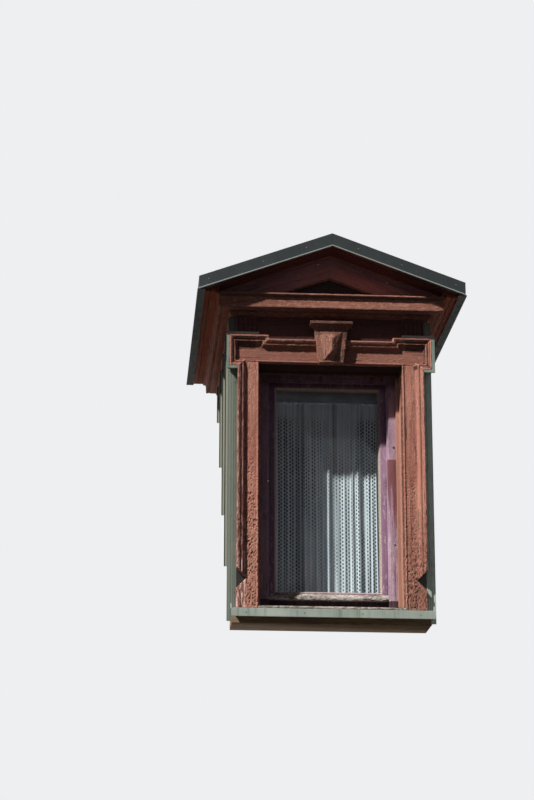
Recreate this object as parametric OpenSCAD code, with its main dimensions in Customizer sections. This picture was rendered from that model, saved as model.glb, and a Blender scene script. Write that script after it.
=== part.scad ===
// Small gabled dormer window for a steep roof, in millimetres.
// X runs to the right, Y into the roof and Z up. The origin is the middle of the sill plate's
// underside, and the street side faces -Y.

/* [Front wall] */
// Width of the front wall over its posts
wall_w = 1036; // [980:2:1250]
// Depth of the posts, the head beam and the sill plate
post_d = 200; // [180:2:240]
// Height of the sill plate
sill_plate_h = 70; // [50:1:90]
// Height of the head beam
head_beam_h = 200; // [160:2:240]
// Height of the wall plates under the rafters
wall_plate_h = 151; // [130:1:170]
// Width of the wall plates and the sole plates
plate_w = 100; // [80:1:110]
// Thickness of the sole plates, square to the main roof
sole_plate_t = 60; // [40:1:90]
// Thickness of the boarded cheek walls
cheek_t = 60; // [40:1:90]

/* [Window opening] */
// Width of the opening between the arrises of the jambs
opening_w = 766; // [620:1:800]
// Height of the opening above the foot of the jambs
opening_h = 1332; // [1050:1:1600]
// Thickness of the lining boards
lining_t = 22; // [18:1:24]
// Depth from the face of the jambs to the window frame
reveal_d = 150; // [130:1:160]
// Width of the stop bead in front of the window frame
stop_w = 19; // [12:1:24]
// Depth of the stop bead
stop_d = 18; // [12:1:24]

/* [Architrave] */
// Thickness of the flat facing boards
facing_t = 28; // [24:1:34]
// Width of the flat face beside the opening
face_w = 62; // [46:1:80]
// Height of the flat face over the opening
head_face_h = 72; // [56:1:90]
// Width of the raised outer moulding
moulding_w = 52; // [46:1:60]
// Height of the raised moulding above the flat face
moulding_out = 31; // [28:1:40]
// Radius of the hollow at the inner side of the moulding
moulding_cove = 20; // [16:1:22]
// Radius of the bead along the opening
bead_r = 5; // [3:0.5:7]
// Sideways step of the ears
ear_step = 44; // [30:1:56]
// Rise of the ears above the head moulding
ear_rise = 21; // [12:1:30]
// Height of the ears
ear_h = 174; // [150:1:200]
// Height of the notch between the moulding and the plinth of each jamb
notch_h = 158; // [110:1:200]
// Thickness of sheet metal
sheet_t = 3; // [2:0.5:4]
// Thickness of the hem of the ear flashing
hem_t = 15; // [8:1:18]

/* [Keystone] */
// Width of the cap of the keystone
cap_w = 226; // [200:1:250]
// Height of the fillet on the cap
cap_fillet_h = 15; // [10:1:24]
// Width of the body at its top
key_top_w = 177; // [150:1:190]
// Width of the body at its foot
key_foot_w = 131; // [110:1:145]
// Distance of the body in front of the facing boards
key_out = 50; // [44:1:66]
// Height of the diamond point above the body
diamond_out = 34; // [20:1:44]
// Width of the diamond point at its top
diamond_top_w = 124; // [96:1:140]
// Width of the diamond point at its foot
diamond_foot_w = 84; // [66:1:100]

/* [Frieze and cornice] */
// Height of the frieze above the head moulding
frieze_h = 135; // [120:1:170]
// Thickness of the frieze board and the tympanum board
frieze_t = 22; // [18:1:26]
// Distance of the fluted end blocks in front of the frieze
block_out = 12; // [8:1:18]
// Number of flutes in each block
flutes = 5; // [3:1:6]
// Radius of the flutes
flute_r = 8; // [5:0.5:9]
// Width of the metal strip at each front corner of the wall
corner_w = 16; // [10:1:24]
// Height of the bed moulding
bed_h = 24; // [22:1:30]
// Distance of the bed moulding in front of the frieze
bed_out = 27; // [20:1:34]
// Height of the flat corona
corona_h = 58; // [46:1:72]
// Distance of the corona in front of the frieze
corona_out = 84; // [70:1:96]
// Height of the crown fillet
crown_h = 22; // [16:1:28]
// Distance of the crown fillet in front of the corona
crown_out = 16; // [14:1:34]

/* [Roof] */
// Pitch of the main roof that the dormer stands in
main_pitch = 50; // [45:0.5:56]
// Pitch of the small gable roof
gable_pitch = 20.2; // [17:0.1:23]
// Distance of the eaves beyond the wall
eave_out = 193; // [160:1:235]
// Distance of the verge in front of the frieze
verge_out = 153; // [135:1:230]
// Height of the metal fascia at the verge and the eaves
fascia_h = 71; // [60:1:88]
// Depth of the lip along the lower edge of the fascia
lip_out = 8; // [4:1:12]
// Width of the metal under the eaves
drip_w = 35; // [28:1:40]
// Height of the eaves above the crown fillet
eave_rise = 60; // [52:1:72]
// Thickness of the roof boards, measured plumb
deck_t = 26; // [22:1:30]
// Thickness of the soffit boards
soffit_t = 20; // [16:1:24]
// Distance of the raking cornice in front of the frieze
raking_out = 10; // [6:1:16]
// Height of the raking cornice that shows below the soffit
raking_h = 72; // [56:1:84]
// Height of the second board below the raking cornice
raking_bed_h = 50; // [36:1:60]
// Height of the rafters, measured plumb
rafter_h = 107; // [90:1:120]
// Width of the rafters
rafter_w = 60; // [45:1:80]
// Distance between rafters
rafter_gap = 400; // [350:5:500]
// Distance between the standing seams of the roof
roof_seam_gap = 420; // [380:5:520]
// Distance between the ribs of the cheek cladding
cheek_rib_gap = 300; // [240:5:380]
// Height of the standing seams
seam_h = 24; // [16:1:30]
// Width of a standing seam
seam_w = 8; // [6:1:12]

/* [Window] */
// Width of the side members of the window frame
frame_w = 66; // [54:1:78]
// Height of the head of the window frame
frame_head_h = 53; // [44:1:64]
// Height of the bottom member of the window frame
frame_foot_h = 26; // [20:1:40]
// Thickness of the sash
sash_t = 42; // [36:1:50]
// Width of the sash stiles
stile_w = 42; // [34:1:56]
// Width of the bevelled putty round the glass
putty_w = 9; // [6:1:12]
// Height of the top rail of the sash
top_rail_h = 34; // [28:1:56]
// Height of the bottom rail of the sash
bottom_rail_h = 85; // [70:1:110]
// Thickness of the glass
glass_t = 4; // [3:1:6]
// Distance of the metal sill in front of the facing boards
metal_sill_out = 65; // [50:1:80]
// Width of the metal sill beyond the wall on each side
metal_sill_side = 9; // [4:1:20]
// Height of the metal sill's front edge
metal_sill_h = 38; // [30:1:44]
// Height of the turned up ends of the metal sill
sill_end_h = 22; // [12:1:30]
// Fall of the sill board towards the street
sill_fall = 8; // [4:1:12]

/* [Curtain] */
// Height of the curtain header behind the glass
header_h = 76; // [60:1:84]
// Depth of the folds of the curtain
curtain_d = 34; // [24:1:50]

/* [Hidden] */

paint = [0.50, 0.31, 0.27];
paint_dark = [0.36, 0.20, 0.20];
soffit_paint = [0.40, 0.20, 0.14];
window_paint = [0.36, 0.28, 0.36];
slate_metal = [0.26, 0.32, 0.33];
green_metal = [0.55, 0.60, 0.55];
timber = [0.62, 0.50, 0.36];
bare_wood = [0.62, 0.60, 0.56];

$fn = 48;

wall_x = wall_w / 2;
open_x = opening_w / 2;
lining_x = open_x + lining_t;
post_y = post_d / 2;
facing_y = -post_y - facing_t;
frieze_y = -post_y - frieze_t;
main_slope = tan(main_pitch);
gable_slope = tan(gable_pitch);
far = 4000;

foot_gap = 4;
sill_board_t = 26;
wall_board_t = 24;
gable_wall_t = 40;
ridge_w = 40;
ridge_h = 150;
soffit_gap = 2;
jamb_foot_z = sill_plate_h + foot_gap;
notch_z = jamb_foot_z + notch_h;
arris_z = jamb_foot_z + opening_h;
post_top_z = arris_z + lining_t;
beam_top_z = post_top_z + head_beam_h;
plate_top_z = beam_top_z + wall_plate_h;
head_top_z = arris_z + head_face_h + moulding_w;
ear_top_z = head_top_z + ear_rise;
ear_foot_z = ear_top_z - ear_h;
jamb_x = open_x + face_w + moulding_w;
ear_x = jamb_x + ear_step;
ear_in_x = open_x - moulding_w;
corner_x = wall_x - corner_w;
frieze_top_z = head_top_z + frieze_h;
corona_z = frieze_top_z + bed_h;
corona_top_z = corona_z + corona_h;
crown_z = corona_top_z + crown_h;
corona_x = wall_x + corona_out;
crown_total = corona_out + crown_out;
cap_drop = 42;
cap_cove = (cap_w - key_top_w) / 2;
key_y = facing_y - key_out;
key_cap_z = frieze_top_z - cap_drop;
key_body_z = key_cap_z - cap_fillet_h - cap_cove;
key_foot_drop = 10;
key_foot_z = arris_z - key_foot_drop;
eave_x = wall_x + eave_out;
eave_z = crown_z + eave_rise;
verge_y = frieze_y - verge_out;
corona_y = frieze_y - corona_out;
drip_x = eave_x - drip_w;
drip_z = eave_z - fascia_h;
verge_under = sheet_t + deck_t + 2 * soffit_t;
raking_y = frieze_y - raking_out;
raking_drop = verge_under + raking_h;
frame_y = facing_y + reveal_d;
sash_y = post_y - sash_t;
glass_y = sash_y + sash_t / 2;
frame_foot_z = sill_plate_h + sill_board_t;
sash_x = open_x - frame_w;
sash_z = frame_foot_z + frame_foot_h;
sash_top_z = arris_z - frame_head_h;
glass_x = sash_x - stile_w;
glass_z = sash_z + bottom_rail_h;
glass_top_z = sash_top_z - top_rail_h;
header_lap = 38;
rail_gap = 72;
header_z = glass_top_z + header_lap;

// Top of the roof at a distance from the ridge
function roof_z(x) = eave_z + (eave_x - abs(x)) * gable_slope;
// Underside of the roof boards at a distance from the ridge
function deck_z(x) = roof_z(x) - sheet_t - deck_t;
// Height of the seat plane on the main roof
function seat_z(y) = (y + post_y) * main_slope;
// Distance into the roof at which the seat plane has a height
function seat_y(z) = z / main_slope - post_y;

module both_sides() {
    children();
    mirror([1, 0, 0]) children();
}

module on_left() {
    mirror([1, 0, 0]) children();
}

// Extrudes an outline drawn in X and Z, from one Y to another
module along_y(y0, y1) {
    translate([0, y1, 0]) rotate([90, 0, 0]) linear_extrude(y1 - y0) children();
}

// Extrudes an outline drawn in Y and Z, from one X to another
module along_x(x0, x1) {
    translate([x0, 0, 0]) rotate([90, 0, 90]) linear_extrude(x1 - x0) children();
}

module box(x0, x1, y0, y1, z0, z1) {
    translate([x0, y0, z0]) cube([x1 - x0, y1 - y0, z1 - z0]);
}

// Everything below the seat plane on the main roof
module main_roof() {
    along_x(-far, far)
        polygon([[seat_y(-far), -far], [far, seat_z(far)], [far, -far]]);
}

// A moulding with a given section along outer corners, mitred to the inner corners. The section
// is drawn as distance from the outer edge and height in front of a plane.
module mitred(outer, inner, plane_y, width) {
    for (i = [0 : len(outer) - 2])
        let (start = outer[i], step = outer[i + 1] - start)
            intersection() {
                translate([start[0], plane_y, start[1]]) rotate([0, atan2(step[0], step[1]), 0])
                    rotate([0, 0, 180]) translate([0, 0, -width])
                        linear_extrude(norm(step) + 2 * width) children();
                along_y(plane_y - 2 * width, plane_y)
                    polygon([start, outer[i + 1], inner[i + 1], inner[i]]);
            }
}

// Corners of an upright rectangle about the middle, back to the first one
function rectangle(x, z0, z1) = [[x, z0], [x, z1], [-x, z1], [-x, z0], [x, z0]];

// A band under the right roof slope between two plumb depths
module slope_band(x0, x1, d0, d1, y0, y1) {
    along_y(y0, y1)
        polygon([[x0, roof_z(x0) - d0], [x1, roof_z(x1) - d0],
            [x1, roof_z(x1) - d1], [x0, roof_z(x0) - d1]]);
}

module sill_plate() {
    color(timber) box(-wall_x, wall_x, -post_y, post_y, 0, sill_plate_h);
}

module post_right() {
    color(timber) box(lining_x, wall_x, -post_y, post_y, sill_plate_h, post_top_z);
}

module post_left() {
    on_left() post_right();
}

module head_beam() {
    color(timber) box(-wall_x, wall_x, -post_y, post_y, post_top_z, beam_top_z);
}

module sole_plates() {
    rise = sole_plate_t / cos(main_pitch);
    color(timber) both_sides()
        along_x(wall_x - plate_w, wall_x)
            polygon([[post_y, seat_z(post_y)], [post_y, seat_z(post_y) + rise],
                [seat_y(beam_top_z - rise), beam_top_z], [seat_y(beam_top_z), beam_top_z]]);
}

module cheek_wall_right() {
    rise = sole_plate_t / cos(main_pitch);
    studs = floor((seat_y(beam_top_z - rise) - post_y) / rafter_gap);
    color(timber) {
        along_x(wall_x - wall_board_t, wall_x) cheek_outline(rise);
        intersection() {
            along_x(wall_x - cheek_t, wall_x) cheek_outline(rise);
            for (i = [0 : studs])
                let (y = post_y + i * rafter_gap)
                    box(wall_x - cheek_t, wall_x, y, y + rafter_w, 0, far);
        }
    }
}

// Outline of a cheek wall above its sole plate
module cheek_outline(rise) {
    polygon([[post_y, seat_z(post_y) + rise], [post_y, beam_top_z],
        [seat_y(beam_top_z - rise), beam_top_z]]);
}

module cheek_wall_left() {
    on_left() cheek_wall_right();
}

module cheek_cladding_right() {
    ribs = floor((seat_y(frieze_top_z) + post_y - 2 * seam_w) / cheek_rib_gap);
    color(green_metal) {
        box(jamb_x, wall_x + sheet_t, -post_y - sheet_t, -post_y, jamb_foot_z,
            ear_foot_z - sheet_t);
        box(corner_x, wall_x + sheet_t, -post_y - sheet_t, -post_y, ear_top_z + sheet_t,
            frieze_top_z);
        along_y(-post_y - sheet_t, -post_y)
            polygon([[jamb_x - moulding_w, notch_z], [jamb_x, notch_z + moulding_w],
                [jamb_x, notch_z - moulding_w]]);
        difference() {
            union() {
                box(wall_x, wall_x + sheet_t, -post_y, far, 0, frieze_top_z);
                for (i = [0 : ribs])
                    let (y = -post_y + seam_w + i * cheek_rib_gap)
                        box(wall_x, wall_x + sheet_t + seam_h, y, y + seam_w, 0, frieze_top_z);
            }
            main_roof();
        }
    }
}

module cheek_cladding_left() {
    on_left() cheek_cladding_right();
}

module wall_plates() {
    front_y = -post_y + gable_wall_t;
    color(timber) both_sides()
        along_x(wall_x - plate_w, wall_x)
            polygon([[front_y, beam_top_z], [front_y, plate_top_z],
                [seat_y(plate_top_z), plate_top_z], [seat_y(beam_top_z), beam_top_z]]);
}

// Outline of the gable above a level, up to the roof boards
module gable_outline(z0) {
    polygon([[-wall_x, z0], [wall_x, z0], [wall_x, deck_z(wall_x)], [0, deck_z(0)],
        [-wall_x, deck_z(wall_x)]]);
}

// Outline of the tympanum between the raking boards and the crown of the cornice
module tympanum_outline() {
    drop = raking_drop + raking_bed_h;
    x = eave_x - (crown_z + drop - eave_z) / gable_slope;
    polygon([[-x, crown_z], [x, crown_z], [0, roof_z(0) - drop]]);
}

module gable_wall() {
    color(timber) along_y(-post_y, -post_y + gable_wall_t) difference() {
        gable_outline(beam_top_z);
        tympanum_outline();
    }
}

module ridge_beam() {
    side = ridge_w / 2;
    color(timber) difference() {
        along_y(-post_y + gable_wall_t, seat_y(deck_z(0)))
            polygon([[-side, deck_z(0) - ridge_h], [side, deck_z(0) - ridge_h],
                [side, deck_z(side)], [0, deck_z(0)], [-side, deck_z(side)]]);
        main_roof();
    }
}

module rafters() {
    side = ridge_w / 2;
    under = sheet_t + deck_t + rafter_h;
    seat_x = eave_x - (plate_top_z + under - eave_z) / gable_slope;
    tail_z = crown_z + soffit_t;
    count = floor((seat_y(deck_z(0)) - post_y) / rafter_gap);
    color(timber) difference() {
        both_sides()
            for (i = [0 : count])
                let (y = -post_y + gable_wall_t + i * rafter_gap)
                    along_y(y, y + rafter_w)
                        polygon([[side, deck_z(side)], [side, roof_z(side) - under],
                            [seat_x, plate_top_z], [wall_x, plate_top_z], [wall_x, tail_z],
                            [drip_x, tail_z - soffit_gap], [drip_x, deck_z(drip_x)]]);
        main_roof();
    }
}

module roof_deck_right() {
    color(timber) difference() {
        slope_band(0, eave_x - sheet_t, sheet_t, sheet_t + deck_t, verge_y + sheet_t, far);
        main_roof();
    }
}

module roof_deck_left() {
    on_left() roof_deck_right();
}

module roof_sheet_right() {
    seams = floor((seat_y(roof_z(0)) - verge_y) / roof_seam_gap);
    edge = eave_x - sheet_t;
    ridge_start = verge_y + 120;
    color(slate_metal) difference() {
        union() {
            along_y(verge_y + sheet_t, far)
                polygon([[0, roof_z(0) - sheet_t], [edge, roof_z(edge) - sheet_t],
                    [edge, roof_z(edge)], [seam_w / 2, roof_z(seam_w / 2)],
                    [seam_w / 2, roof_z(0) + seam_h], [0, roof_z(0) + seam_h]]);
            for (i = [1 : seams])
                let (y = verge_y + (i - 0.5) * roof_seam_gap)
                    along_y(y, y + seam_w)
                        polygon([[0, roof_z(0) - sheet_t / 2], [edge, roof_z(edge) - sheet_t / 2],
                            [edge, roof_z(edge) + seam_h], [0, roof_z(0) + seam_h]]);
        }
        box(-seam_w, seam_w, verge_y, ridge_start, roof_z(0) + sheet_t, far);
        main_roof();
    }
}

module roof_sheet_left() {
    on_left() roof_sheet_right();
}

module verge_fascia_right() {
    lip_t = 2 * sheet_t;
    flange_w = 24;
    color(slate_metal) {
        slope_band(0, seam_w, 0, fascia_h, verge_y, verge_y + sheet_t);
        slope_band(seam_w / 2, eave_x, -sheet_t, fascia_h, verge_y, verge_y + sheet_t);
        slope_band(0, eave_x, fascia_h - lip_t, fascia_h, verge_y - lip_out, verge_y + sheet_t);
        slope_band(seam_w / 2, eave_x, -sheet_t, 0, verge_y, verge_y + flange_w);
    }
}

module verge_fascia_left() {
    on_left() verge_fascia_right();
}

module eave_trim_right() {
    front_y = verge_y + sheet_t;
    color(slate_metal) difference() {
        union() {
            box(eave_x - sheet_t, eave_x, front_y, far, drip_z, roof_z(eave_x));
            box(drip_x, eave_x + lip_out, front_y, far, drip_z, drip_z + sheet_t);
        }
        main_roof();
    }
}

module eave_trim_left() {
    on_left() eave_trim_right();
}

module eave_soffit_right() {
    color(soffit_paint) difference() {
        union() {
            box(corona_x, drip_x, corona_y, far, crown_z, crown_z + soffit_t - soffit_gap);
            along_y(verge_y + sheet_t, far)
                polygon([[drip_x, drip_z + sheet_t], [eave_x - sheet_t, drip_z + sheet_t],
                    [eave_x - sheet_t, deck_z(eave_x - sheet_t)], [drip_x, deck_z(drip_x)]]);
            along_y(corona_y, raking_y)
                polygon([[corona_x, crown_z], [corona_x + soffit_t, crown_z],
                    [corona_x + soffit_t, deck_z(corona_x + soffit_t)],
                    [corona_x, deck_z(corona_x)]]);
        }
        main_roof();
    }
}

module eave_soffit_left() {
    on_left() eave_soffit_right();
}

module verge_soffit() {
    top = sheet_t + deck_t;
    groove_w = 4;
    groove_d = 5;
    low = verge_under - groove_d;
    color(soffit_paint) difference() {
        both_sides() {
            slope_band(0, drip_x, top, verge_under, verge_y + sheet_t, corona_y);
            slope_band(0, corona_x, top, verge_under, corona_y, raking_y);
        }
        both_sides()
            for (part = [1 / 3, 2 / 3])
                let (y = verge_y + part * (raking_y - verge_y))
                    slope_band(0, drip_x, low, verge_under + groove_d, y, y + groove_w);
    }
}

module raking_cornice_right() {
    step = 12;
    drop = raking_drop + raking_bed_h;
    color(paint_dark) difference() {
        union() {
            slope_band(0, corona_x, sheet_t + deck_t, raking_drop, raking_y, -post_y);
            slope_band(0, corona_x, raking_drop, drop, raking_y + step, -post_y);
        }
        box(-far, far, -far, far, 0, crown_z);
    }
}

module raking_cornice_left() {
    on_left() raking_cornice_right();
}

module tympanum() {
    back_y = -post_y + gable_wall_t;
    color(paint_dark) along_y(back_y - frieze_t, back_y) tympanum_outline();
}

// Section of the cornice as distance out of the frieze and height
module cornice_profile(back) {
    fillet_h = 5;
    fillet_out = 6;
    ovolo_r = bed_h - fillet_out;
    cove_r = crown_h - 2 * fillet_out;
    bed_z = corona_z - fillet_h;
    groove_w = 8;
    groove_in = 22;
    translate([-back, frieze_top_z]) square([back + fillet_out, corona_z - frieze_top_z]);
    translate([0, bed_z]) square([fillet_out + ovolo_r + 2, fillet_h]);
    intersection() {
        translate([fillet_out, bed_z]) circle(ovolo_r);
        translate([0, bed_z - ovolo_r]) square(ovolo_r + fillet_out);
    }
    difference() {
        translate([-back, corona_z]) square([back + corona_out, crown_z - corona_z]);
        translate([corona_out - groove_in, corona_z]) square([groove_w, groove_w / 2]);
    }
    difference() {
        translate([corona_out, corona_top_z]) square(cove_r);
        translate([corona_out + cove_r, corona_top_z]) circle(cove_r);
    }
    translate([corona_out, corona_top_z + cove_r]) square([crown_out, crown_h - cove_r]);
}

module front_cornice() {
    color(paint) intersection() {
        along_x(-wall_x - crown_total, wall_x + crown_total)
            translate([frieze_y, 0]) mirror([1, 0]) cornice_profile(frieze_t);
        linear_extrude(far)
            polygon([[-wall_x, -post_y], [wall_x, -post_y], [wall_x, frieze_y],
                [wall_x + crown_total, frieze_y - crown_total],
                [-wall_x - crown_total, frieze_y - crown_total], [-wall_x, frieze_y]]);
    }
}

module side_cornice_right() {
    color(paint_dark) difference() {
        intersection() {
            along_y(frieze_y - crown_total, seat_y(crown_z))
                translate([wall_x, 0]) cornice_profile(0);
            linear_extrude(far)
                polygon([[wall_x, frieze_y], [wall_x + crown_total, frieze_y - crown_total],
                    [wall_x + crown_total, far], [wall_x, far]]);
        }
        main_roof();
    }
}

module side_cornice_left() {
    on_left() side_cornice_right();
}

module frieze() {
    flute_end = 12;
    pitch = (corner_x - open_x) / flutes;
    color(paint_dark) {
        along_y(frieze_y, -post_y)
            polygon([[-corner_x, ear_top_z], [-ear_in_x, ear_top_z], [-ear_in_x, head_top_z],
                [ear_in_x, head_top_z], [ear_in_x, ear_top_z], [corner_x, ear_top_z],
                [corner_x, frieze_top_z], [-corner_x, frieze_top_z]]);
        both_sides() difference() {
            box(open_x, corner_x, frieze_y - block_out, frieze_y, ear_top_z, frieze_top_z);
            for (i = [0 : flutes - 1])
                translate([open_x + (i + 0.5) * pitch, frieze_y - block_out, ear_top_z + flute_end])
                    cylinder(r = flute_r, h = frieze_top_z - ear_top_z - 2 * flute_end);
        }
    }
}

// Corners of the right jamb's outer edge, moved inwards, from the notch to the mitre of the ear
function jamb_edge(inset) = [
    [jamb_x - inset, notch_z + moulding_w - inset], [jamb_x - inset, ear_foot_z + inset],
    [ear_x - inset, ear_foot_z + inset], [ear_x - inset, ear_top_z - inset]];

// Corners of the head's right outer edge, moved inwards, from the mitre of the ear to the middle
function head_edge(inset) = [
    [ear_x - inset, ear_top_z - inset], [ear_in_x + inset, ear_top_z - inset],
    [ear_in_x + inset, head_top_z - inset], [0, head_top_z - inset]];

// Section of the raised moulding: fillet, quarter round, quirk, fillet and hollow
module moulding_profile() {
    fillet_w = 8;
    round_r = 13;
    quirk = 2;
    round_top = moulding_out - quirk;
    square([fillet_w, moulding_out]);
    square([fillet_w + round_r, round_top - round_r]);
    translate([fillet_w, round_top - round_r]) intersection() {
        circle(round_r);
        square(round_r);
    }
    difference() {
        square([moulding_w, moulding_cove]);
        square([fillet_w + round_r, moulding_cove]);
        translate([moulding_w, moulding_cove]) circle(moulding_cove);
    }
}

module raised_moulding(outer, inner) {
    mitred(outer, inner, facing_y, moulding_w) moulding_profile();
}

// Jamb board with its plinth, notch and bead, and the moulding up to the mitre of the ear
module architrave_right() {
    color(paint) {
        along_y(facing_y, -post_y)
            polygon([[open_x, jamb_foot_z], [jamb_x, jamb_foot_z], [jamb_x, notch_z - moulding_w],
                [jamb_x - moulding_w, notch_z], [jamb_x, notch_z + moulding_w],
                [jamb_x, ear_foot_z], [ear_x, ear_foot_z], [ear_x, arris_z], [open_x, arris_z]]);
        raised_moulding(jamb_edge(0), jamb_edge(moulding_w));
        translate([open_x + bead_r, facing_y, jamb_foot_z])
            cylinder(r = bead_r, h = arris_z - jamb_foot_z);
    }
}

module architrave_left() {
    on_left() architrave_right();
}

// Tapered outline of the keystone in X and Z
module key_outline() {
    polygon([[-key_top_w / 2, key_body_z], [key_top_w / 2, key_body_z],
        [key_foot_w / 2, key_foot_z], [-key_foot_w / 2, key_foot_z]]);
}

module architrave_head() {
    color(paint) {
        along_y(facing_y, -post_y)
            polygon([[-ear_x, arris_z], [ear_x, arris_z], [ear_x, ear_top_z], [ear_in_x, ear_top_z],
                [ear_in_x, head_top_z], [-ear_in_x, head_top_z], [-ear_in_x, ear_top_z],
                [-ear_x, ear_top_z]]);
        difference() {
            union() {
                both_sides() raised_moulding(head_edge(0), head_edge(moulding_w));
                translate([-open_x - 2 * bead_r, facing_y, arris_z + bead_r]) rotate([0, 90, 0])
                    cylinder(r = bead_r, h = opening_w + 4 * bead_r);
            }
            along_y(facing_y - key_out, facing_y) key_outline();
        }
    }
}

// Cap of the keystone: fillet over a hollow, returned on both sides
module key_cap() {
    difference() {
        box(-cap_w / 2, cap_w / 2, key_y - cap_cove, frieze_y, key_body_z, key_cap_z);
        translate([-cap_w, key_y - cap_cove, key_body_z]) rotate([0, 90, 0])
            cylinder(r = cap_cove, h = 2 * cap_w);
        both_sides() translate([cap_w / 2, key_y - cap_w, key_body_z]) rotate([-90, 0, 0])
            cylinder(r = cap_cove, h = 2 * cap_w);
    }
}

module keystone() {
    top_x = diamond_top_w / 2;
    foot_x = diamond_foot_w / 2;
    margin = 13;
    top_z = key_body_z - margin;
    foot_z = key_foot_z + margin;
    slant_h = 48;
    point_y = key_y - diamond_out;
    color(paint) {
        along_y(key_y, facing_y) key_outline();
        along_y(facing_y, frieze_y) intersection() {
            key_outline();
            translate([-cap_w, head_top_z]) square([2 * cap_w, frieze_h]);
        }
        key_cap();
        polyhedron(
            points = [[-top_x, key_y, top_z], [top_x, key_y, top_z], [foot_x, key_y, foot_z],
                [-foot_x, key_y, foot_z], [0, point_y, top_z - slant_h],
                [0, point_y, foot_z + slant_h]],
            faces = [[0, 3, 2, 1], [0, 1, 4], [1, 2, 5, 4], [2, 3, 5], [3, 0, 4, 5]]);
    }
}

// Sheet of a given thickness over, beside and under the right ear, from an X on its top
module ear_wrap(x, t) {
    polygon([[x, ear_top_z], [x, ear_top_z + t], [ear_x + t, ear_top_z + t],
        [ear_x + t, ear_foot_z - t], [jamb_x, ear_foot_z - t], [jamb_x, ear_foot_z],
        [ear_x, ear_foot_z], [ear_x, ear_top_z]]);
}

module ear_flashing() {
    front_y = facing_y - moulding_out;
    block_y = frieze_y - block_out;
    hem_d = 10;
    color(green_metal) both_sides() {
        along_y(front_y, block_y) ear_wrap(open_x, sheet_t);
        along_y(block_y, -post_y) ear_wrap(wall_x, sheet_t);
        along_y(front_y, front_y + hem_d) ear_wrap(open_x, hem_t);
    }
}

module reveal_lining() {
    color(paint) {
        both_sides() {
            box(open_x, lining_x, -post_y, post_y, frame_foot_z, post_top_z);
            box(open_x - stop_w, open_x, frame_y - stop_d, frame_y, frame_foot_z, arris_z);
        }
        box(-open_x, open_x, -post_y, post_y, arris_z, post_top_z);
        box(-open_x, open_x, frame_y - stop_d, frame_y, arris_z - stop_w, arris_z);
    }
}

module sill_board() {
    nose_out = 8;
    nose_fall = 2;
    nose_top = frame_foot_z - sill_fall;
    color(bare_wood) {
        difference() {
            box(-lining_x, lining_x, -post_y, post_y, sill_plate_h, frame_foot_z);
            along_x(-open_x, open_x)
                polygon([[-post_y, frame_foot_z], [-post_y, nose_top],
                    [frame_y - stop_d, frame_foot_z]]);
        }
        along_x(-open_x, open_x)
            polygon([[-post_y, jamb_foot_z], [-post_y, nose_top],
                [facing_y - nose_out, nose_top - nose_fall], [facing_y - nose_out, jamb_foot_z]]);
    }
}

module metal_sill() {
    front_y = facing_y - metal_sill_out;
    hem_w = 9;
    fall = 14;
    top = sill_plate_h - fall;
    foot = top - metal_sill_h;
    x = wall_x + metal_sill_side;
    color(green_metal) {
        along_x(-x, x)
            polygon([[front_y, foot], [front_y + hem_w, foot], [front_y + hem_w, foot + sheet_t],
                [front_y + sheet_t, foot + sheet_t], [front_y + sheet_t, top],
                [facing_y, sill_plate_h], [-post_y, sill_plate_h], [-post_y, jamb_foot_z],
                [facing_y, jamb_foot_z], [front_y, top + sheet_t]]);
        both_sides()
            along_x(x - sheet_t, x)
                polygon([[front_y, top], [front_y, top + sill_end_h], [facing_y, jamb_foot_z + sill_end_h],
                    [facing_y, sill_plate_h]]);
    }
}

module window_frame() {
    rebate = 8;
    foot_y = frame_y + 2 * rebate;
    color(window_paint) difference() {
        along_y(frame_y, post_y) difference() {
            translate([-open_x, frame_foot_z]) square([opening_w, arris_z - frame_foot_z]);
            translate([-sash_x, sash_z]) square([2 * sash_x, sash_top_z - sash_z]);
        }
        along_y(frame_y, frame_y + rebate)
            translate([-sash_x - rebate, sash_z])
                square([2 * (sash_x + rebate), sash_top_z + rebate - sash_z]);
        box(-sash_x, sash_x, frame_y, foot_y, frame_foot_z, sash_z);
    }
}

module sash() {
    putty_x = glass_x + putty_w;
    putty_z = glass_z - putty_w;
    putty_top_z = glass_top_z + putty_w;
    set_back = 4;
    edge_w = 1;
    depth = glass_y - sash_y - set_back;
    color(window_paint) {
        along_y(sash_y, glass_y + glass_t) difference() {
            translate([-sash_x, sash_z]) square([2 * sash_x, sash_top_z - sash_z]);
            translate([-putty_x, putty_z]) square([2 * putty_x, putty_top_z - putty_z]);
        }
        along_y(glass_y + glass_t, post_y) difference() {
            translate([-sash_x, sash_z]) square([2 * sash_x, sash_top_z - sash_z]);
            translate([-glass_x, glass_z]) square([2 * glass_x, glass_top_z - glass_z]);
        }
        mitred(rectangle(putty_x, putty_z, putty_top_z), rectangle(glass_x, glass_z, glass_top_z),
                glass_y, 3 * putty_w)
            polygon([[0, 0], [putty_w, 0], [putty_w, edge_w], [edge_w, depth], [0, depth]]);
    }
}

module glass() {
    color([0.8, 0.88, 0.9])
        box(-glass_x - putty_w, glass_x + putty_w, glass_y, glass_y + glass_t,
            glass_z - putty_w, glass_top_z + putty_w);
}

module weather_bar() {
    bar_out = 26;
    bar_h = 36;
    nose_h = 10;
    groove = 4;
    lift = 33;
    foot = sash_z + lift;
    color(window_paint) along_x(-sash_x, sash_x) difference() {
        polygon([[sash_y, foot], [sash_y - bar_out, foot], [sash_y - bar_out, foot + nose_h],
            [sash_y, foot + bar_h]]);
        translate([sash_y - bar_out + 2 * groove, foot]) circle(groove);
    }
}

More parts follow.
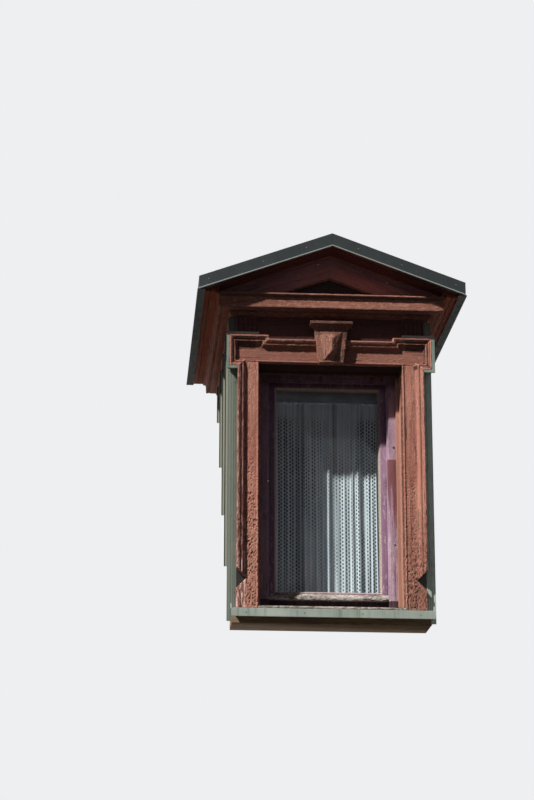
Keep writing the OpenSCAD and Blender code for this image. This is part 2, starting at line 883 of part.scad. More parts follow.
module curtain_rail() {
    back_y = post_y + rail_gap;
    end_gap = 4;
    end_x = sash_x - end_gap;
    rail_t = 12;
    bracket_w = 20;
    color([0.6, 0.65, 0.7]) {
        box(-end_x, end_x, back_y, back_y + rail_t, header_z - header_h, header_z);
        both_sides() box(end_x - bracket_w, end_x, post_y, back_y, header_z - header_h, header_z);
    }
}

module curtain() {
    side_gap = 20;
    set_forward = 4;
    hang_gap = 0.3;
    x = sash_x - side_gap;
    front_y = post_y + rail_gap - set_forward;
    color([0.9, 0.9, 0.9])
        box(-x, x, front_y, front_y + curtain_d, sash_z + side_gap, header_z - header_h - hang_gap);
}

sill_plate();
post_left();
post_right();
head_beam();
sole_plates();
cheek_wall_left();
cheek_wall_right();
cheek_cladding_left();
cheek_cladding_right();
wall_plates();
gable_wall();
ridge_beam();
rafters();
roof_deck_left();
roof_deck_right();
roof_sheet_left();
roof_sheet_right();
verge_fascia_left();
verge_fascia_right();
eave_trim_left();
eave_trim_right();
eave_soffit_left();
eave_soffit_right();
verge_soffit();
raking_cornice_left();
raking_cornice_right();
tympanum();
front_cornice();
side_cornice_left();
side_cornice_right();
frieze();
architrave_left();
architrave_right();
architrave_head();
keystone();
ear_flashing();
reveal_lining();
sill_board();
metal_sill();
window_frame();
sash();
glass();
weather_bar();
curtain_rail();
curtain();
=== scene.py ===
import math
from functools import partialmethod

import bmesh
import bpy
import numpy
from mathutils import Matrix, Vector


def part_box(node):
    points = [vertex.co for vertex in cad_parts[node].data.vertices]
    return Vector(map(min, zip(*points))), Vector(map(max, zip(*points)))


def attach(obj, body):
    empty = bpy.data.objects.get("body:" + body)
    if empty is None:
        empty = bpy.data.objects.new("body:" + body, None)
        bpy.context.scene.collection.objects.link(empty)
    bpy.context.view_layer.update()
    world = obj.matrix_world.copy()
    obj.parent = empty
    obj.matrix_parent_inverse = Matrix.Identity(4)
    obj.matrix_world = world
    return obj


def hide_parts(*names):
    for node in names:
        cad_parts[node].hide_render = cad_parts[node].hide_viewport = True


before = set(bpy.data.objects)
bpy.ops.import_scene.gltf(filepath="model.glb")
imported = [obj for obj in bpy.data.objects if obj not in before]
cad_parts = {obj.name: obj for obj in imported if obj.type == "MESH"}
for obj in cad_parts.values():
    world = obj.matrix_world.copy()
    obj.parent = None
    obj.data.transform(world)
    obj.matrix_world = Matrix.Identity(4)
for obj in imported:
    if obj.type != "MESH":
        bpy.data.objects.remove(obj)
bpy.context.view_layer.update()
scene = bpy.context.scene

# Places that several pieces share, in metres
openX = 0.383  # half of the opening
jambX = 0.497  # outer edge of the jambs
archZ = 1.406  # arris under the head
slope = math.tan(math.radians(20.2))  # of the little gable
eaveX = 0.711
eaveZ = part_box("verge_fascia_right")[1][2] - eaveX * slope - 0.003
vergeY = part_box("verge_fascia_right")[0][1] + 0.008
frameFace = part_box("window_frame")[0][1]


def roofTop(x):
    return eaveZ + (eaveX - abs(x)) * slope


def paintTone(red, green, blue):  # 0 to 255 on a screen, made linear
    channels = []
    for value in (red / 255, green / 255, blue / 255):
        channels.append(value / 12.92 if value <= 0.04045 else ((value + 0.055) / 1.055) ** 2.4)
    return (*channels, 1.0)


def palette(*start, **values):  # three numbers are a colour, anything else stays as it is
    tones = dict(*start)
    for key, value in values.items():
        tones[key] = paintTone(*value) if isinstance(value, tuple) else value
    return tones


class Signal:  # a socket that can be calculated with
    def __init__(self, graph, socket):
        self.graph = graph
        self.socket = socket

    def compute(self, operation, other=0.0):
        return self.graph.node("ShaderNodeMath", {"operation": operation}, {0: self, 1: other})

    def swapped(self, operation, other):
        return self.graph.node("ShaderNodeMath", {"operation": operation}, {0: other, 1: self})

    __add__ = partialmethod(compute, "ADD")
    __radd__ = partialmethod(swapped, "ADD")
    __sub__ = partialmethod(compute, "SUBTRACT")
    __rsub__ = partialmethod(swapped, "SUBTRACT")
    __mul__ = partialmethod(compute, "MULTIPLY")
    __rmul__ = partialmethod(swapped, "MULTIPLY")
    __truediv__ = partialmethod(compute, "DIVIDE")
    __mod__ = partialmethod(compute, "FLOORED_MODULO")
    __pow__ = partialmethod(compute, "POWER")
    __abs__ = partialmethod(compute, "ABSOLUTE")
    floor = partialmethod(compute, "FLOOR")
    most = partialmethod(compute, "MAXIMUM")
    least = partialmethod(compute, "MINIMUM")


class NodeGraph:
    def __init__(self, owner):  # a material or the world
        owner.use_nodes = True
        self.tree = owner.node_tree
        self.tree.nodes.clear()

    def node(self, kind, settings=None, inputs=None, output=0):
        made = self.tree.nodes.new(kind)
        for key, value in (settings or {}).items():
            setattr(made, key, value)
        for key, value in (inputs or {}).items():
            if isinstance(value, Signal):
                self.tree.links.new(value.socket, made.inputs[key])
            else:
                made.inputs[key].default_value = value
        return Signal(self, made.outputs[output] if len(made.outputs) else None)

    def seenBy(self, *kinds):  # 1 for rays of these kinds
        seen = 0.0
        for kind in kinds:
            seen = self.node("ShaderNodeLightPath", output=f"Is {kind} Ray").most(seen)
        return seen


class Finish(NodeGraph):
    def __init__(self, name, tones, direction=None, recipe=None):
        self.material = bpy.data.materials.new(name)
        super().__init__(self.material)
        self.point = self.node("ShaderNodeTexCoord", output="Object")
        self.x, self.y, self.z = self.parts(self.point)
        self.side = abs(self.x)  # distance from the middle
        self.along = self.grainPoint(direction)
        self.tones = tones
        self.colour = tones.get("fresh")  # so far
        self.recipe = recipe
        if recipe:
            self.coat = {name: self.noise(*values) for name, values in recipe["patterns"].items()}

    def parts(self, vector):
        return [self.node("ShaderNodeSeparateXYZ", {}, {0: vector}, output=axis) for axis in "XYZ"]

    def place(self, x, y, z):  # a vector out of three values
        return self.node("ShaderNodeCombineXYZ", {}, {0: x, 1: y, 2: z})

    def grainPoint(self, direction):  # the grain of the piece runs along the first axis
        x, y, z = self.x, self.y, self.z
        if direction == "rake":  # parallel to the gable's slopes
            return self.place(x, y, z + self.side * slope)
        if direction == "main":  # up the main roof
            return self.place(z - y * 1.19, x, y)
        if direction:
            return self.place(*{"x": (x, y, z), "y": (y, x, z), "z": (z, x, y)}[direction])
        return self.point

    def stretched(self, vector, scales, shift):
        return self.node(
            "ShaderNodeVectorMath", {"operation": "MULTIPLY_ADD"}, {0: vector, 1: scales, 2: shift}
        )

    def noise(self, scales, detail, roughness, seed, vector=None, distortion=0.0):
        place = self.stretched(vector or self.along, scales, (seed, seed * 1.7, seed * 0.6))
        values = {"Scale": 1.0, "Detail": detail, "Roughness": roughness, "Distortion": distortion}
        return self.node("ShaderNodeTexNoise", {}, {"Vector": place, **values})

    def cells(self, scales, seed):  # distance from the nearest of many scattered points
        place = self.stretched(self.along, scales, (seed, seed, seed))
        return self.node(
            "ShaderNodeTexVoronoi", {}, {"Vector": place, "Scale": 1.0}, output="Distance"
        )

    def span(self, value, low, high, start=0.0, end=1.0):
        return self.node(
            "ShaderNodeMapRange",
            {"interpolation_type": "SMOOTHSTEP"},
            {0: value, 1: low, 2: high, 3: start, 4: end},
        )

    def band(self, value, low, high, soft):  # 1 between low and high
        return self.span(value, low - soft, low + soft) * self.span(value, high + soft, high - soft)

    def zone(self, marks, **ranges):  # 1 where the place is within the named range on each axis
        mask = 1.0
        for axis, name in ranges.items():
            mask = self.span(getattr(self, axis), *marks[name]) * mask
        return mask

    def weighted(self, weights):
        return sum(self.coat[name] * weight for name, weight in weights.items())

    def mix(self, factor, *tones):  # of two colours, or of the palette's tones by their names
        first, second = (self.tones.get(tone, tone) for tone in tones)
        return self.node(
            "ShaderNodeMix", {"data_type": "RGBA"}, {0: factor, 6: first, 7: second}, output=2
        )

    def tint(self, factor, tone):
        self.colour = self.mix(factor, self.colour, tone)

    def layers(self, table):
        for pattern, low, high, strength, tone in table:
            self.tint(self.span(self.coat[pattern], low, high) * strength, tone)

    def attribute(self, name):
        return self.node("ShaderNodeAttribute", {"attribute_name": name}, output="Fac")

    def bump(self, height, distance):
        return self.node(
            "ShaderNodeBump", {}, {"Height": height, "Distance": distance, "Strength": 1.0}
        )

    def surface(self, colour, roughness, normal=None, shine=0.15, metal=0.0):
        inputs = {"Base Color": colour, "Roughness": roughness, "Metallic": metal}
        inputs["Specular IOR Level"] = shine
        if normal:
            inputs["Normal"] = normal
        return self.node("ShaderNodeBsdfPrincipled", {}, inputs)

    def done(self, shader):
        self.node("ShaderNodeOutputMaterial", {}, {"Surface": shader})
        return self.material

    def coated(self, rough, shine=0.15, metal=0.0):
        rough = rough + self.weighted(self.recipe["rough"])
        relief = self.bump(self.weighted(self.recipe["height"]), self.recipe["relief"])
        return self.done(self.surface(self.colour, rough, relief, shine, metal))


oldPaint = palette(
    fresh=(162, 105, 90), faded=(180, 123, 106), deep=(112, 68, 58), primer=(198, 152, 132),
    # on the next line the pits' tone also paints shade, the darkest is dirt with painted shade, the
    # last painted shade on the worn left moulding
    wood=(116, 94, 80), hole=(50, 32, 28), mould=(88, 84, 70), dirt=(38, 20, 17), bare=(78, 42, 36),
    flake=(214, 170, 160), wear=0.5, grime=0.15,
    grain=46.0,  # fibres to the metre
    flat=0.0,  # painted shade: how much darker the flat face is drawn
)
headPaint = palette(oldPaint, fresh=(144, 94, 80), faded=(158, 106, 91), flat=0.4)
cornicePaint = palette(oldPaint, fresh=(134, 86, 72), faded=(148, 98, 83))
keyPaint = palette(oldPaint, fresh=(120, 78, 65), faded=(144, 101, 86))
# the lining's darkest tone is painted shade under the head, its light tone painted light on the
# right reveal
liningPaint = palette(
    oldPaint, fresh=(138, 82, 68), faded=(160, 104, 88), deep=(84, 44, 38), soot=(14, 3, 2),
    light=(196, 150, 132), grime=0.55,
)
rakingPaint = palette(
    fresh=(160, 110, 112), faded=(176, 130, 128), deep=(112, 76, 80), primer=(160, 122, 112),
    wood=(104, 88, 80), hole=(40, 26, 26), mould=(84, 80, 72), grain=40.0, wear=0.3, grime=0.55,
)
# darker copies of the paint: painted shade on the frieze and, darker still, on the tympanum
friezePaint = palette(
    rakingPaint, fresh=(68, 40, 39), faded=(82, 52, 50), deep=(44, 25, 25), primer=(98, 66, 62),
    wood=(76, 54, 50), hole=(30, 18, 18),
)
gablePaint = palette(friezePaint, fresh=(48, 37, 41), faded=(58, 46, 50), deep=(34, 25, 28))
soffitPaint = palette(
    fresh=(172, 86, 54), faded=(194, 108, 72), deep=(92, 44, 28), primer=(172, 132, 104),
    wood=(120, 100, 82), hole=(44, 28, 22), mould=(92, 84, 66), grain=34.0, wear=0.35, grime=0.55,
)
sidePaint = palette(soffitPaint, fresh=(142, 78, 56), faded=(162, 98, 74), deep=(86, 44, 34))
# darker copy of the soffit paint: painted shade under the verges
vergePaint = palette(soffitPaint, fresh=(86, 42, 40), faded=(102, 54, 50), deep=(52, 26, 25))
lilacPaint = palette(
    fresh=(156, 126, 144), faded=(186, 158, 174), deep=(94, 68, 88), primer=(196, 182, 184),
    wood=(142, 134, 124), hole=(62, 46, 56), mould=(98, 90, 92), lost=(116, 66, 64),
    foot=(30, 14, 9), left=(54, 34, 60), head=(44, 12, 12), putty=(176, 164, 150),
    oldPutty=(128, 112, 106), grain=40.0, wear=0.32, grime=0.55,
)
sashPaint = palette(
    lilacPaint, fresh=(134, 98, 122), faded=(156, 122, 144), deep=(122, 96, 114), hole=(92, 72, 86),
    wood=(156, 140, 148),
)
sillWood = palette(
    fresh=(92, 74, 66), faded=(172, 152, 142), deep=(44, 35, 30), primer=(226, 224, 216),
    wood=(120, 110, 98), hole=(48, 40, 34), mould=(96, 96, 84), grain=50.0, wear=0.75, grime=0.55,
)
barWood = palette(
    sillWood, fresh=(64, 54, 47), faded=(158, 149, 140), deep=(38, 30, 26), grain=34.0, wear=0.6,
)

# Patterns: scales along and across the grain, detail, roughness and seed.
# Layers: pattern, the values between which it starts to show, strength and tone.
paintCoat = {
    "patterns": {
        "broad": ((3.0, 9.0, 9.0), 5.0, 0.6, 2.0),
        "blotches": ((24.0, 60.0, 60.0), 5.0, 0.62, 9.0),
        "crumbs": ((150.0, 190.0, 190.0), 5.0, 0.6, 1.0),
        "grime": ((14.0, 20.0, 20.0), 4.0, 0.6, 21.0),
    },
    "grained": {  # across the grain these are multiples of the wood's own
        "fibres": (4.0, 4.0, 6.0, 0.65, 7.0),
        "streaks": (2.0, 1.0, 4.0, 0.6, 4.0),
        "splits": (5.0, 3.2, 3.0, 0.5, 15.0),
    },
    "layers": [
        ("broad", 0.35, 0.65, 1.0, "faded"),
        ("streaks", 0.48, 0.72, 0.75, "deep"),
        ("crumbs", 0.52, 0.7, 0.45, "deep"),
        ("crumbs", 0.46, 0.3, 0.35, "primer"),
    ],
    "foot": (0.75, 0.08),  # heights between which the damp grows
    "loose": {"blotches": 0.6, "fibres": 0.4, "wear": 0.16},
    "flaked": (0.64, 0.7),
    "rim": (0.61, 0.64),
    "cracked": (0.66, 0.71),
    "grimy": (0.5, 0.75),
    "rough": {"crumbs": 0.25, "flaked": 0.1},
    "height": {"crumbs": 0.5, "fibres": 0.35, "streaks": 0.6, "cracks": -0.9, "flaked": -0.5},
    "relief": 0.0016,
}


def paintedWood(name, tones, direction, *marks):
    finish = Finish(name, tones, direction, paintCoat)
    coat = finish.coat
    for pattern, (along, across, *rest) in paintCoat["grained"].items():
        width = tones["grain"] * across
        coat[pattern] = finish.noise((along, width, width), *rest)
    foot = coat["foot"] = finish.zone(paintCoat, z="foot")
    finish.layers(paintCoat["layers"])
    coat["wear"] = tones["wear"] + foot * 0.22
    loose = finish.weighted(paintCoat["loose"])
    flaked = coat["flaked"] = finish.span(loose, *paintCoat["flaked"])
    finish.tint(flaked * 0.85, "wood")
    finish.tint(finish.span(loose, *paintCoat["rim"]) * (1 - flaked) * 0.6, "primer")
    coat["cracks"] = finish.span(coat["splits"] + foot * 0.05, *paintCoat["cracked"])
    finish.tint(coat["cracks"] * 0.8, "hole")
    grime = finish.span(coat["grime"], *paintCoat["grimy"]) * foot
    finish.tint(grime * tones["grime"], "mould")
    for mark in marks:
        mark(finish)
    return finish.coated(0.62)


# Marks on the front, in metres: a range goes from where a mark starts to where it is full
frontMarks = {
    "dirtFrom": (openX + 0.012, openX + 0.024),
    "revealSkin": (0.0022, 0.0014),
    "behindFace": (-0.13, -0.127),
    "bareFrom": (-0.447, -0.451),
    "bareTop": (1.39, 1.36),
    "crumbledFrom": (0.38, 0.42),
    "crumbledTop": (0.75, 0.3),
    "crownSoot": (1.748, 1.762, 0.002),
    "coronaSoot": (1.694, 1.69),
    "capFoot": (1.548, 1.552),
    "stainFrom": (0.012, 0.018),
    "specks": ((70.0, 150.0, 150.0), 4.0, 0.6, 27.0),
    "flakes": ((17.0, 130.0, 60.0), 4.0, 0.6, 31.0),
    "crumbs": ((60.0, 150.0, 150.0), 3.0, 0.6, 17.0),
}


def speckled(finish, mask):
    specks = finish.span(finish.noise(*frontMarks["specks"]), 0.42, 0.54)
    finish.tint(mask * specks * 0.9, "hole")


def hollows(finish):  # pits of the worn copies, painted shade on the flat face, and dirt with painted shade in crevices and the mouldings' hollows
    # painted shade: the flat face is drawn darker
    finish.tint(finish.attribute("flat") * finish.tones["flat"], "deep")
    finish.tint(finish.span(finish.attribute("pit"), 0.2, 1.0) * 0.3, "hole")
    # dirt with painted shade in crevices and in the mouldings' hollows
    dirt = finish.attribute("dirt") * (0.65 + finish.span(finish.coat["blotches"], 0.3, 0.6) * 0.35)
    spread = finish.span(finish.side, *frontMarks["dirtFrom"], 0.35, 1.0)
    finish.tint(dirt * spread, "dirt")


def chips(finish):
    chip = finish.attribute("chip")
    finish.tint(finish.span(chip, 0.2, 0.7) * 0.75, "primer")
    finish.tint(finish.span(chip * finish.coat["crumbs"], 0.4, 0.6) * 0.8, "wood")


def lostPaint(finish):  # painted shade on the worn left moulding, which has pale flakes; the right foot crumbles
    inner = finish.span(abs(finish.x - openX), *frontMarks["revealSkin"])
    speckled(finish, inner * finish.zone(frontMarks, y="behindFace"))
    # painted shade on the left moulding
    bare = finish.zone(frontMarks, x="bareFrom", z="bareTop")
    finish.tint(bare * 0.6, "bare")
    flakes = finish.span(finish.noise(*frontMarks["flakes"]), 0.5, 0.54)
    finish.tint(flakes * bare * (0.4 + finish.coat["foot"] * 0.6), "flake")
    crumbled = finish.zone(frontMarks, x="crumbledFrom", z="crumbledTop")
    finish.tint(crumbled * 0.3, "deep")
    whole = finish.span(finish.noise(*frontMarks["crumbs"]), 0.6, 0.5)
    finish.tint(crumbled * (1 - whole) * 0.85, "hole")


def coveSoot(finish):  # painted shade under the crown and the corona
    crown = finish.band(finish.z, *frontMarks["crownSoot"])
    soot = crown.most(finish.zone(frontMarks, z="coronaSoot") * 0.7)
    finish.tint(soot * 0.75, "hole")


def capStains(finish):  # painted shade on the keystone's cap and, mottled, on its right facet
    cap = finish.zone(frontMarks, z="capFoot")
    stain = finish.zone(frontMarks, x="stainFrom") * finish.span(finish.coat["blotches"], 0.42, 0.56)
    finish.tint((cap * 0.5).most(stain * 0.75), "hole")


liningMarks = {
    "soot": (1.36, 1.4),
    "rightFrom": (0.3, 0.31),
    "lightTop": (1.36, 1.34),
    "innerFrom": (-0.046, -0.052),
}


def sootyHead(finish):  # painted shade under the head, painted light on the right reveal
    finish.tint(finish.zone(liningMarks, z="soot") * 0.97, "soot")
    right = finish.zone(liningMarks, x="rightFrom", z="lightTop")
    inner = finish.zone(liningMarks, y="innerFrom") * right
    # painted light on the right reveal
    finish.tint(right * (1 - inner) * 0.6, "light")
    speckled(finish, inner)


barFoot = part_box("weather_bar")[0][2]
windowMarks = {
    "lost": (0.45, 0.926, 0.002),  # height of the worn stretch, and how soft its ends are
    "lostFrom": (0.3, 0.306),
    "lostSkin": (frameFace + 0.012, frameFace + 0.008),
    "footTop": (barFoot + 0.002, barFoot - 0.004),
    "leftFrom": (-0.2, -0.28),
    "headFrom": (1.3, 1.35),
    "bevelX": (0.2845, 0.2835),
    "bevelZ": (0.1985, 1.3275, 0.0005),
}


def wornStile(finish):  # paint gone from the right stile
    lost = finish.zone(windowMarks, x="lostFrom", y="lostSkin")
    lost = lost * finish.band(finish.z, *windowMarks["lost"])
    streaks = finish.coat["streaks"] + (finish.z - 0.42) * 0.75  # more of them further up
    finish.tint(lost * finish.span(streaks, 0.62, 0.74) * 0.85, "lost")


def shadedSides(finish):  # the left side is darker, the head and foot nearly black
    finish.tint(finish.zone(windowMarks, z="footTop") * 0.88, "foot")
    finish.tint(finish.zone(windowMarks, x="leftFrom") * 0.4, "left")
    finish.tint(finish.zone(windowMarks, z="headFrom") * 0.7, "head")


def puttyBevel(finish):  # pale bevel round the pane
    rim = finish.zone(windowMarks, side="bevelX") * finish.band(finish.z, *windowMarks["bevelZ"])
    chalk = finish.span(finish.coat["crumbs"], 0.4, 0.65)
    finish.tint(rim, finish.mix(chalk, "putty", "oldPutty"))


def boardJoint(finish, across, width, gap):  # 1 in the joint between two boards
    offset = abs((across / width) % 1.0 - 0.5)
    return finish.span(offset, 0.5 - gap / width, 0.5 - gap / width * 0.3)


soffitCoat = {
    "patterns": {
        "broad": ((4.0, 14.0, 14.0), 5.0, 0.6, 2.0),
        "streaks": ((3.0, 90.0, 90.0), 6.0, 0.65, 4.0),
        "fibres": ((6.0, 260.0, 260.0), 4.0, 0.6, 6.0),
    },
    "stain": 0.244,
    "layers": [("broad", 0.35, 0.68, 1.0, "faded"), ("streaks", 0.5, 0.72, 0.8, "deep")],
    "bare": (0.6, 0.68),
    "gap": 0.004,
    "rough": {"fibres": 0.2},
    "height": {"streaks": 0.6, "fibres": 0.3, "joint": -2.2},
    "relief": 0.0018,
}


def soffitBoards(name, tones, direction, width):
    finish = Finish(name, tones, direction, soffitCoat)
    coat = finish.coat
    across = finish.side if direction == "y" else finish.y
    coat["joint"] = boardJoint(finish, across, width, soffitCoat["gap"])
    finish.layers(soffitCoat["layers"])
    finish.tint(soffitCoat["stain"], "deep")
    bare = finish.span((coat["streaks"] + coat["broad"]) * 0.5, *soffitCoat["bare"])
    finish.tint(bare * 0.55, "wood")
    finish.tint(coat["joint"] * 0.92, "hole")
    return finish.coated(0.66)


timber = {
    "tones": palette(
        fresh=(164, 138, 106), faded=(130, 108, 84), ring=(98, 72, 50), fibre=(88, 70, 54),
        knot=(72, 46, 30), grey=(122, 116, 106), board=(120, 94, 70), gap=(30, 22, 16),
    ),
    "patterns": {
        "fibres": ((6.0, 240.0, 240.0), 5.0, 0.6, 2.0),
        "broad": ((2.0, 7.0, 7.0), 4.0, 0.6, 8.0),
        "saw": ((160.0, 3.0, 3.0), 2.0, 0.5, 1.0),
    },
    "rings": ((1.2, 22.0, 22.0), 3.0, 0.5, 5.0),
    "ringCount": 9.0,
    "knots": ((2.6, 11.0, 11.0), 3.0),
    "layers": [
        ("broad", 0.3, 0.7, 1.0, "faded"),
        ("stripes", 0.35, 0.95, 0.45, "ring"),
        ("fibres", 0.5, 0.75, 0.4, "fibre"),
        ("knots", 0.12, 0.07, 0.85, "knot"),
        ("broad", 0.55, 0.8, 0.35, "grey"),
    ],
    "board": ((1.0, 1.0, 1.0), 0.0, 0.5, 6.0),
    "rake": 0.938,  # run of the gable's slope for each metre along it
    "gap": 0.005,
    "rough": {"fibres": 0.15},
    "height": {"fibres": 0.4, "saw": 0.35, "grooves": -0.25, "joint": -2.0},
    "relief": 0.0015,
}


def sawnTimber(name, direction, boardAxis=None, boardWidth=None):
    finish = Finish(name, timber["tones"], direction, timber)
    coat = finish.coat
    rings = finish.noise(*timber["rings"], distortion=1.4)
    coat["stripes"] = abs((rings * timber["ringCount"]) % 1.0 - 0.5) * 2
    coat["knots"] = finish.cells(*timber["knots"])
    coat["grooves"] = finish.span(coat["stripes"], 0.6, 1.0)
    coat["joint"] = 0.0
    finish.layers(timber["layers"])
    if boardAxis:
        across = finish.z if boardAxis == "z" else finish.side / timber["rake"]
        coat["joint"] = boardJoint(finish, across, boardWidth, timber["gap"])
        board = finish.place((across / boardWidth).floor() * 5.3, 0.0, 0.0)
        shade = finish.span(finish.noise(*timber["board"], board), 0.35, 0.65)
        finish.tint(shade * 0.6, "board")
        finish.tint(coat["joint"] * 0.95, "gap")
    return finish.coated(0.7)


slateSheet = palette(
    fresh=(37, 44, 47), light=(45, 53, 55), dark=(30, 36, 39), dust=(62, 66, 64), rust=(84, 66, 52),
    gloss=0.5, metal=0.05,
)
# darker copy of the slate sheet: painted shade on the eave trims
trimSheet = palette(
    slateSheet, fresh=(26, 28, 29), light=(33, 36, 37), dark=(20, 20, 20), dust=(42, 42, 40),
    gloss=0.7, metal=0.0,
)
vergeSheet = palette(
    slateSheet, fresh=(30, 36, 38), light=(38, 45, 46), dark=(24, 29, 31), lip=(150, 158, 154),
)
greenSheet = palette(
    fresh=(140, 150, 140), light=(162, 170, 160), dark=(86, 95, 88), dust=(144, 140, 128),
    rust=(128, 102, 80), gloss=0.5, metal=0.3,
)
cladSheet = palette(
    fresh=(88, 91, 83), light=(108, 110, 100), dark=(46, 46, 41), dust=(98, 94, 83),
    # tones for the ribs' painted shadow and glint, then the right strip's painted light, and painted
    # shade in the notch and beside the frieze
    rust=(98, 76, 58), shadow=(30, 29, 26), glint=(152, 153, 138), leftStrip=(108, 116, 106),
    rightStrip=(188, 200, 188), notch=(26, 18, 16), corner=(44, 36, 34), gloss=0.6, metal=0.15,
)
earSheet = palette(
    fresh=(112, 124, 116), light=(136, 148, 138), dark=(70, 78, 72), dust=(128, 124, 108),
    rust=(98, 76, 58), shelter=(24, 10, 9), gloss=0.6, metal=0.1,
)
sheetCoat = {
    "patterns": {
        "broad": ((4.0, 5.0, 5.0), 4.0, 0.6, 3.0),
        "streaks": ((1.6, 46.0, 46.0), 5.0, 0.65, 9.0),
        "speckle": ((230.0, 230.0, 230.0), 3.0, 0.6, 4.0),
        "bloom": ((26.0, 34.0, 34.0), 6.0, 0.7, 12.0),
        "wave": ((5.0, 9.0, 9.0), 2.0, 0.4, 6.0),
    },
    "spots": ((26.0, 26.0, 26.0), 5.0),
    "layers": [
        ("broad", 0.32, 0.68, 1.0, "light"),
        ("streaks", 0.5, 0.74, 0.6, "dark"),
        ("streaks", 0.46, 0.26, 0.5, "light"),
        ("bloom", 0.56, 0.74, 0.55, "dust"),
        ("speckle", 0.56, 0.72, 0.25, "dark"),
    ],
    "rough": {"dulled": 0.3, "speckle": 0.08},
    "height": {"wave": 2.2, "speckle": 0.06, "bloom": 0.12},
    "relief": 0.0012,
}
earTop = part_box("ear_flashing")[1][2]
sheetMarks = {
    "lipFrom": (0.0605, 0.062),  # depth under the roof's upper edge
    "runs": ((0.5, 34.0, 24.0), 2.0, 0.5, 14.0),
    "runLayers": [("runs", 0.5, 0.36, 0.28, "dark"), ("runs", 0.52, 0.66, 0.28, "light")],
    "bay": 0.3,  # from rib to rib
    "firstRib": -0.092,
    "ribDirt": (0.036, 0.006),
    "ribFrom": (0.5212, 0.522),
    "ribFace": (0.53, 0.5395, 0.001),
    "frontFrom": (-0.07, -0.078),
    "rightFrom": (0.3, 0.4),
    "seams": [(0.5025, 0.505, 0.0008), (0.512, 0.5145, 0.0008)],
    "notchX": (jambX + 0.0005, jambX - 0.0005),
    "notchTop": (0.4, 0.39),
    "cornerFrom": (1.54, 1.56),
    "hemFrom": (earTop - 0.021, earTop - 0.019),
}


def vergeLip(finish):
    depth = roofTop(finish.x) - finish.z
    finish.tint(finish.span(depth, *sheetMarks["lipFrom"]) * 0.9, "lip")


def cheekSeams(finish):  # runs of dirt, ribs with dirt, painted shadow and a painted glint, and the strip beside the jamb, painted lighter on the right; painted shade in the notch and beside the frieze
    side = finish.side
    finish.coat["runs"] = finish.noise(*sheetMarks["runs"])
    finish.layers(sheetMarks["runLayers"])
    # dirt and painted shadow behind each rib
    bay = (finish.y - sheetMarks["firstRib"]) % sheetMarks["bay"]
    finish.tint(finish.span(bay, *sheetMarks["ribDirt"]) * 0.45, "dark")
    line = finish.mix(finish.band(side, *sheetMarks["ribFace"]), "shadow", "glint")
    finish.tint(finish.zone(sheetMarks, side="ribFrom") * 0.85, line)
    # painted light: the strip on the right is drawn lighter
    right = finish.zone(sheetMarks, x="rightFrom")
    strip = finish.mix(right, "leftStrip", "rightStrip")
    first, second = (finish.band(side, *seam) for seam in sheetMarks["seams"])
    strip = finish.mix(first.most(second) * 0.8, strip, "dark")
    front = finish.zone(sheetMarks, y="frontFrom")
    finish.tint(front * (0.55 + finish.coat["streaks"] * 0.5).least(1.0), strip)
    # painted shade in the notch at the jamb's foot
    notch = finish.zone(sheetMarks, side="notchX", z="notchTop")
    finish.tint(notch * front * 0.94, "notch")
    corner = finish.zone(sheetMarks, z="cornerFrom")  # painted shade beside the frieze
    finish.tint(corner * front * 0.85, "corner")


def earHem(finish):  # painted shade on the flashing's top hem, under the cornice
    finish.tint(finish.zone(sheetMarks, z="hemFrom") * 0.97, "shelter")


def sheetMetal(name, tones, direction, *marks):
    finish = Finish(name, tones, direction, sheetCoat)
    coat = finish.coat
    coat["dulled"] = finish.span(coat["bloom"], 0.45, 0.75)
    finish.layers(sheetCoat["layers"])
    spots = finish.span(finish.cells(*sheetCoat["spots"]), 0.09, 0.04)
    finish.tint(spots * finish.span(coat["bloom"], 0.45, 0.6) * 0.7, "rust")
    for mark in marks:
        mark(finish)
    return finish.coated(tones["gloss"], 0.3, tones["metal"])


pane = {
    "tones": palette(shine=(150, 160, 166), clear=(248, 251, 251)),
    "dust": ((26.0, 26.0, 5.0), 5.0, 0.6, 3.0),
    "ripple": ((7.0, 7.0, 3.0), 2.0, 0.4, 5.0),
    "film": 0.04,
    "straightOn": 0.026,  # share that the pane reflects when seen straight on
    "grazing": 0.9,
    "relief": 0.0012,
}


def clearGlass():
    finish = Finish("windowGlass", pane["tones"])
    film = finish.span(finish.noise(*pane["dust"]), 0.42, 0.8) * pane["film"]
    ripple = finish.bump(finish.noise(*pane["ripple"]), pane["relief"])
    gloss = finish.surface(finish.tones["shine"], 0.03, ripple, 0.5)
    clear = finish.node("ShaderNodeBsdfTransparent", {}, {"Color": finish.tones["clear"]})
    facing = finish.node("ShaderNodeLayerWeight", {}, {"Blend": 0.5}, output="Facing")
    factor = (facing**5.0 * pane["grazing"] + film + pane["straightOn"]).least(1.0)
    return finish.done(finish.node("ShaderNodeMixShader", {}, {0: factor, 1: clear, 2: gloss}))


rail = {
    "tones": palette(
        # the last tone is a painted highlight along the upper edge
        fresh=(176, 184, 194), faded=(142, 150, 164), thread=(170, 180, 186), edge=(246, 244, 238),
    ),
    "weave": ((220.0, 220.0, 60.0), 3.0, 0.5, 1.0),
    "soft": ((6.0, 6.0, 14.0), 4.0, 0.6, 4.0),
    # painted highlight along the upper edge, where the eye sees it just under the frame's head
    "edgeZ": 1.3165 + (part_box("curtain_rail")[0][1] - frameFace) * 0.374,
    "relief": 0.0006,
}


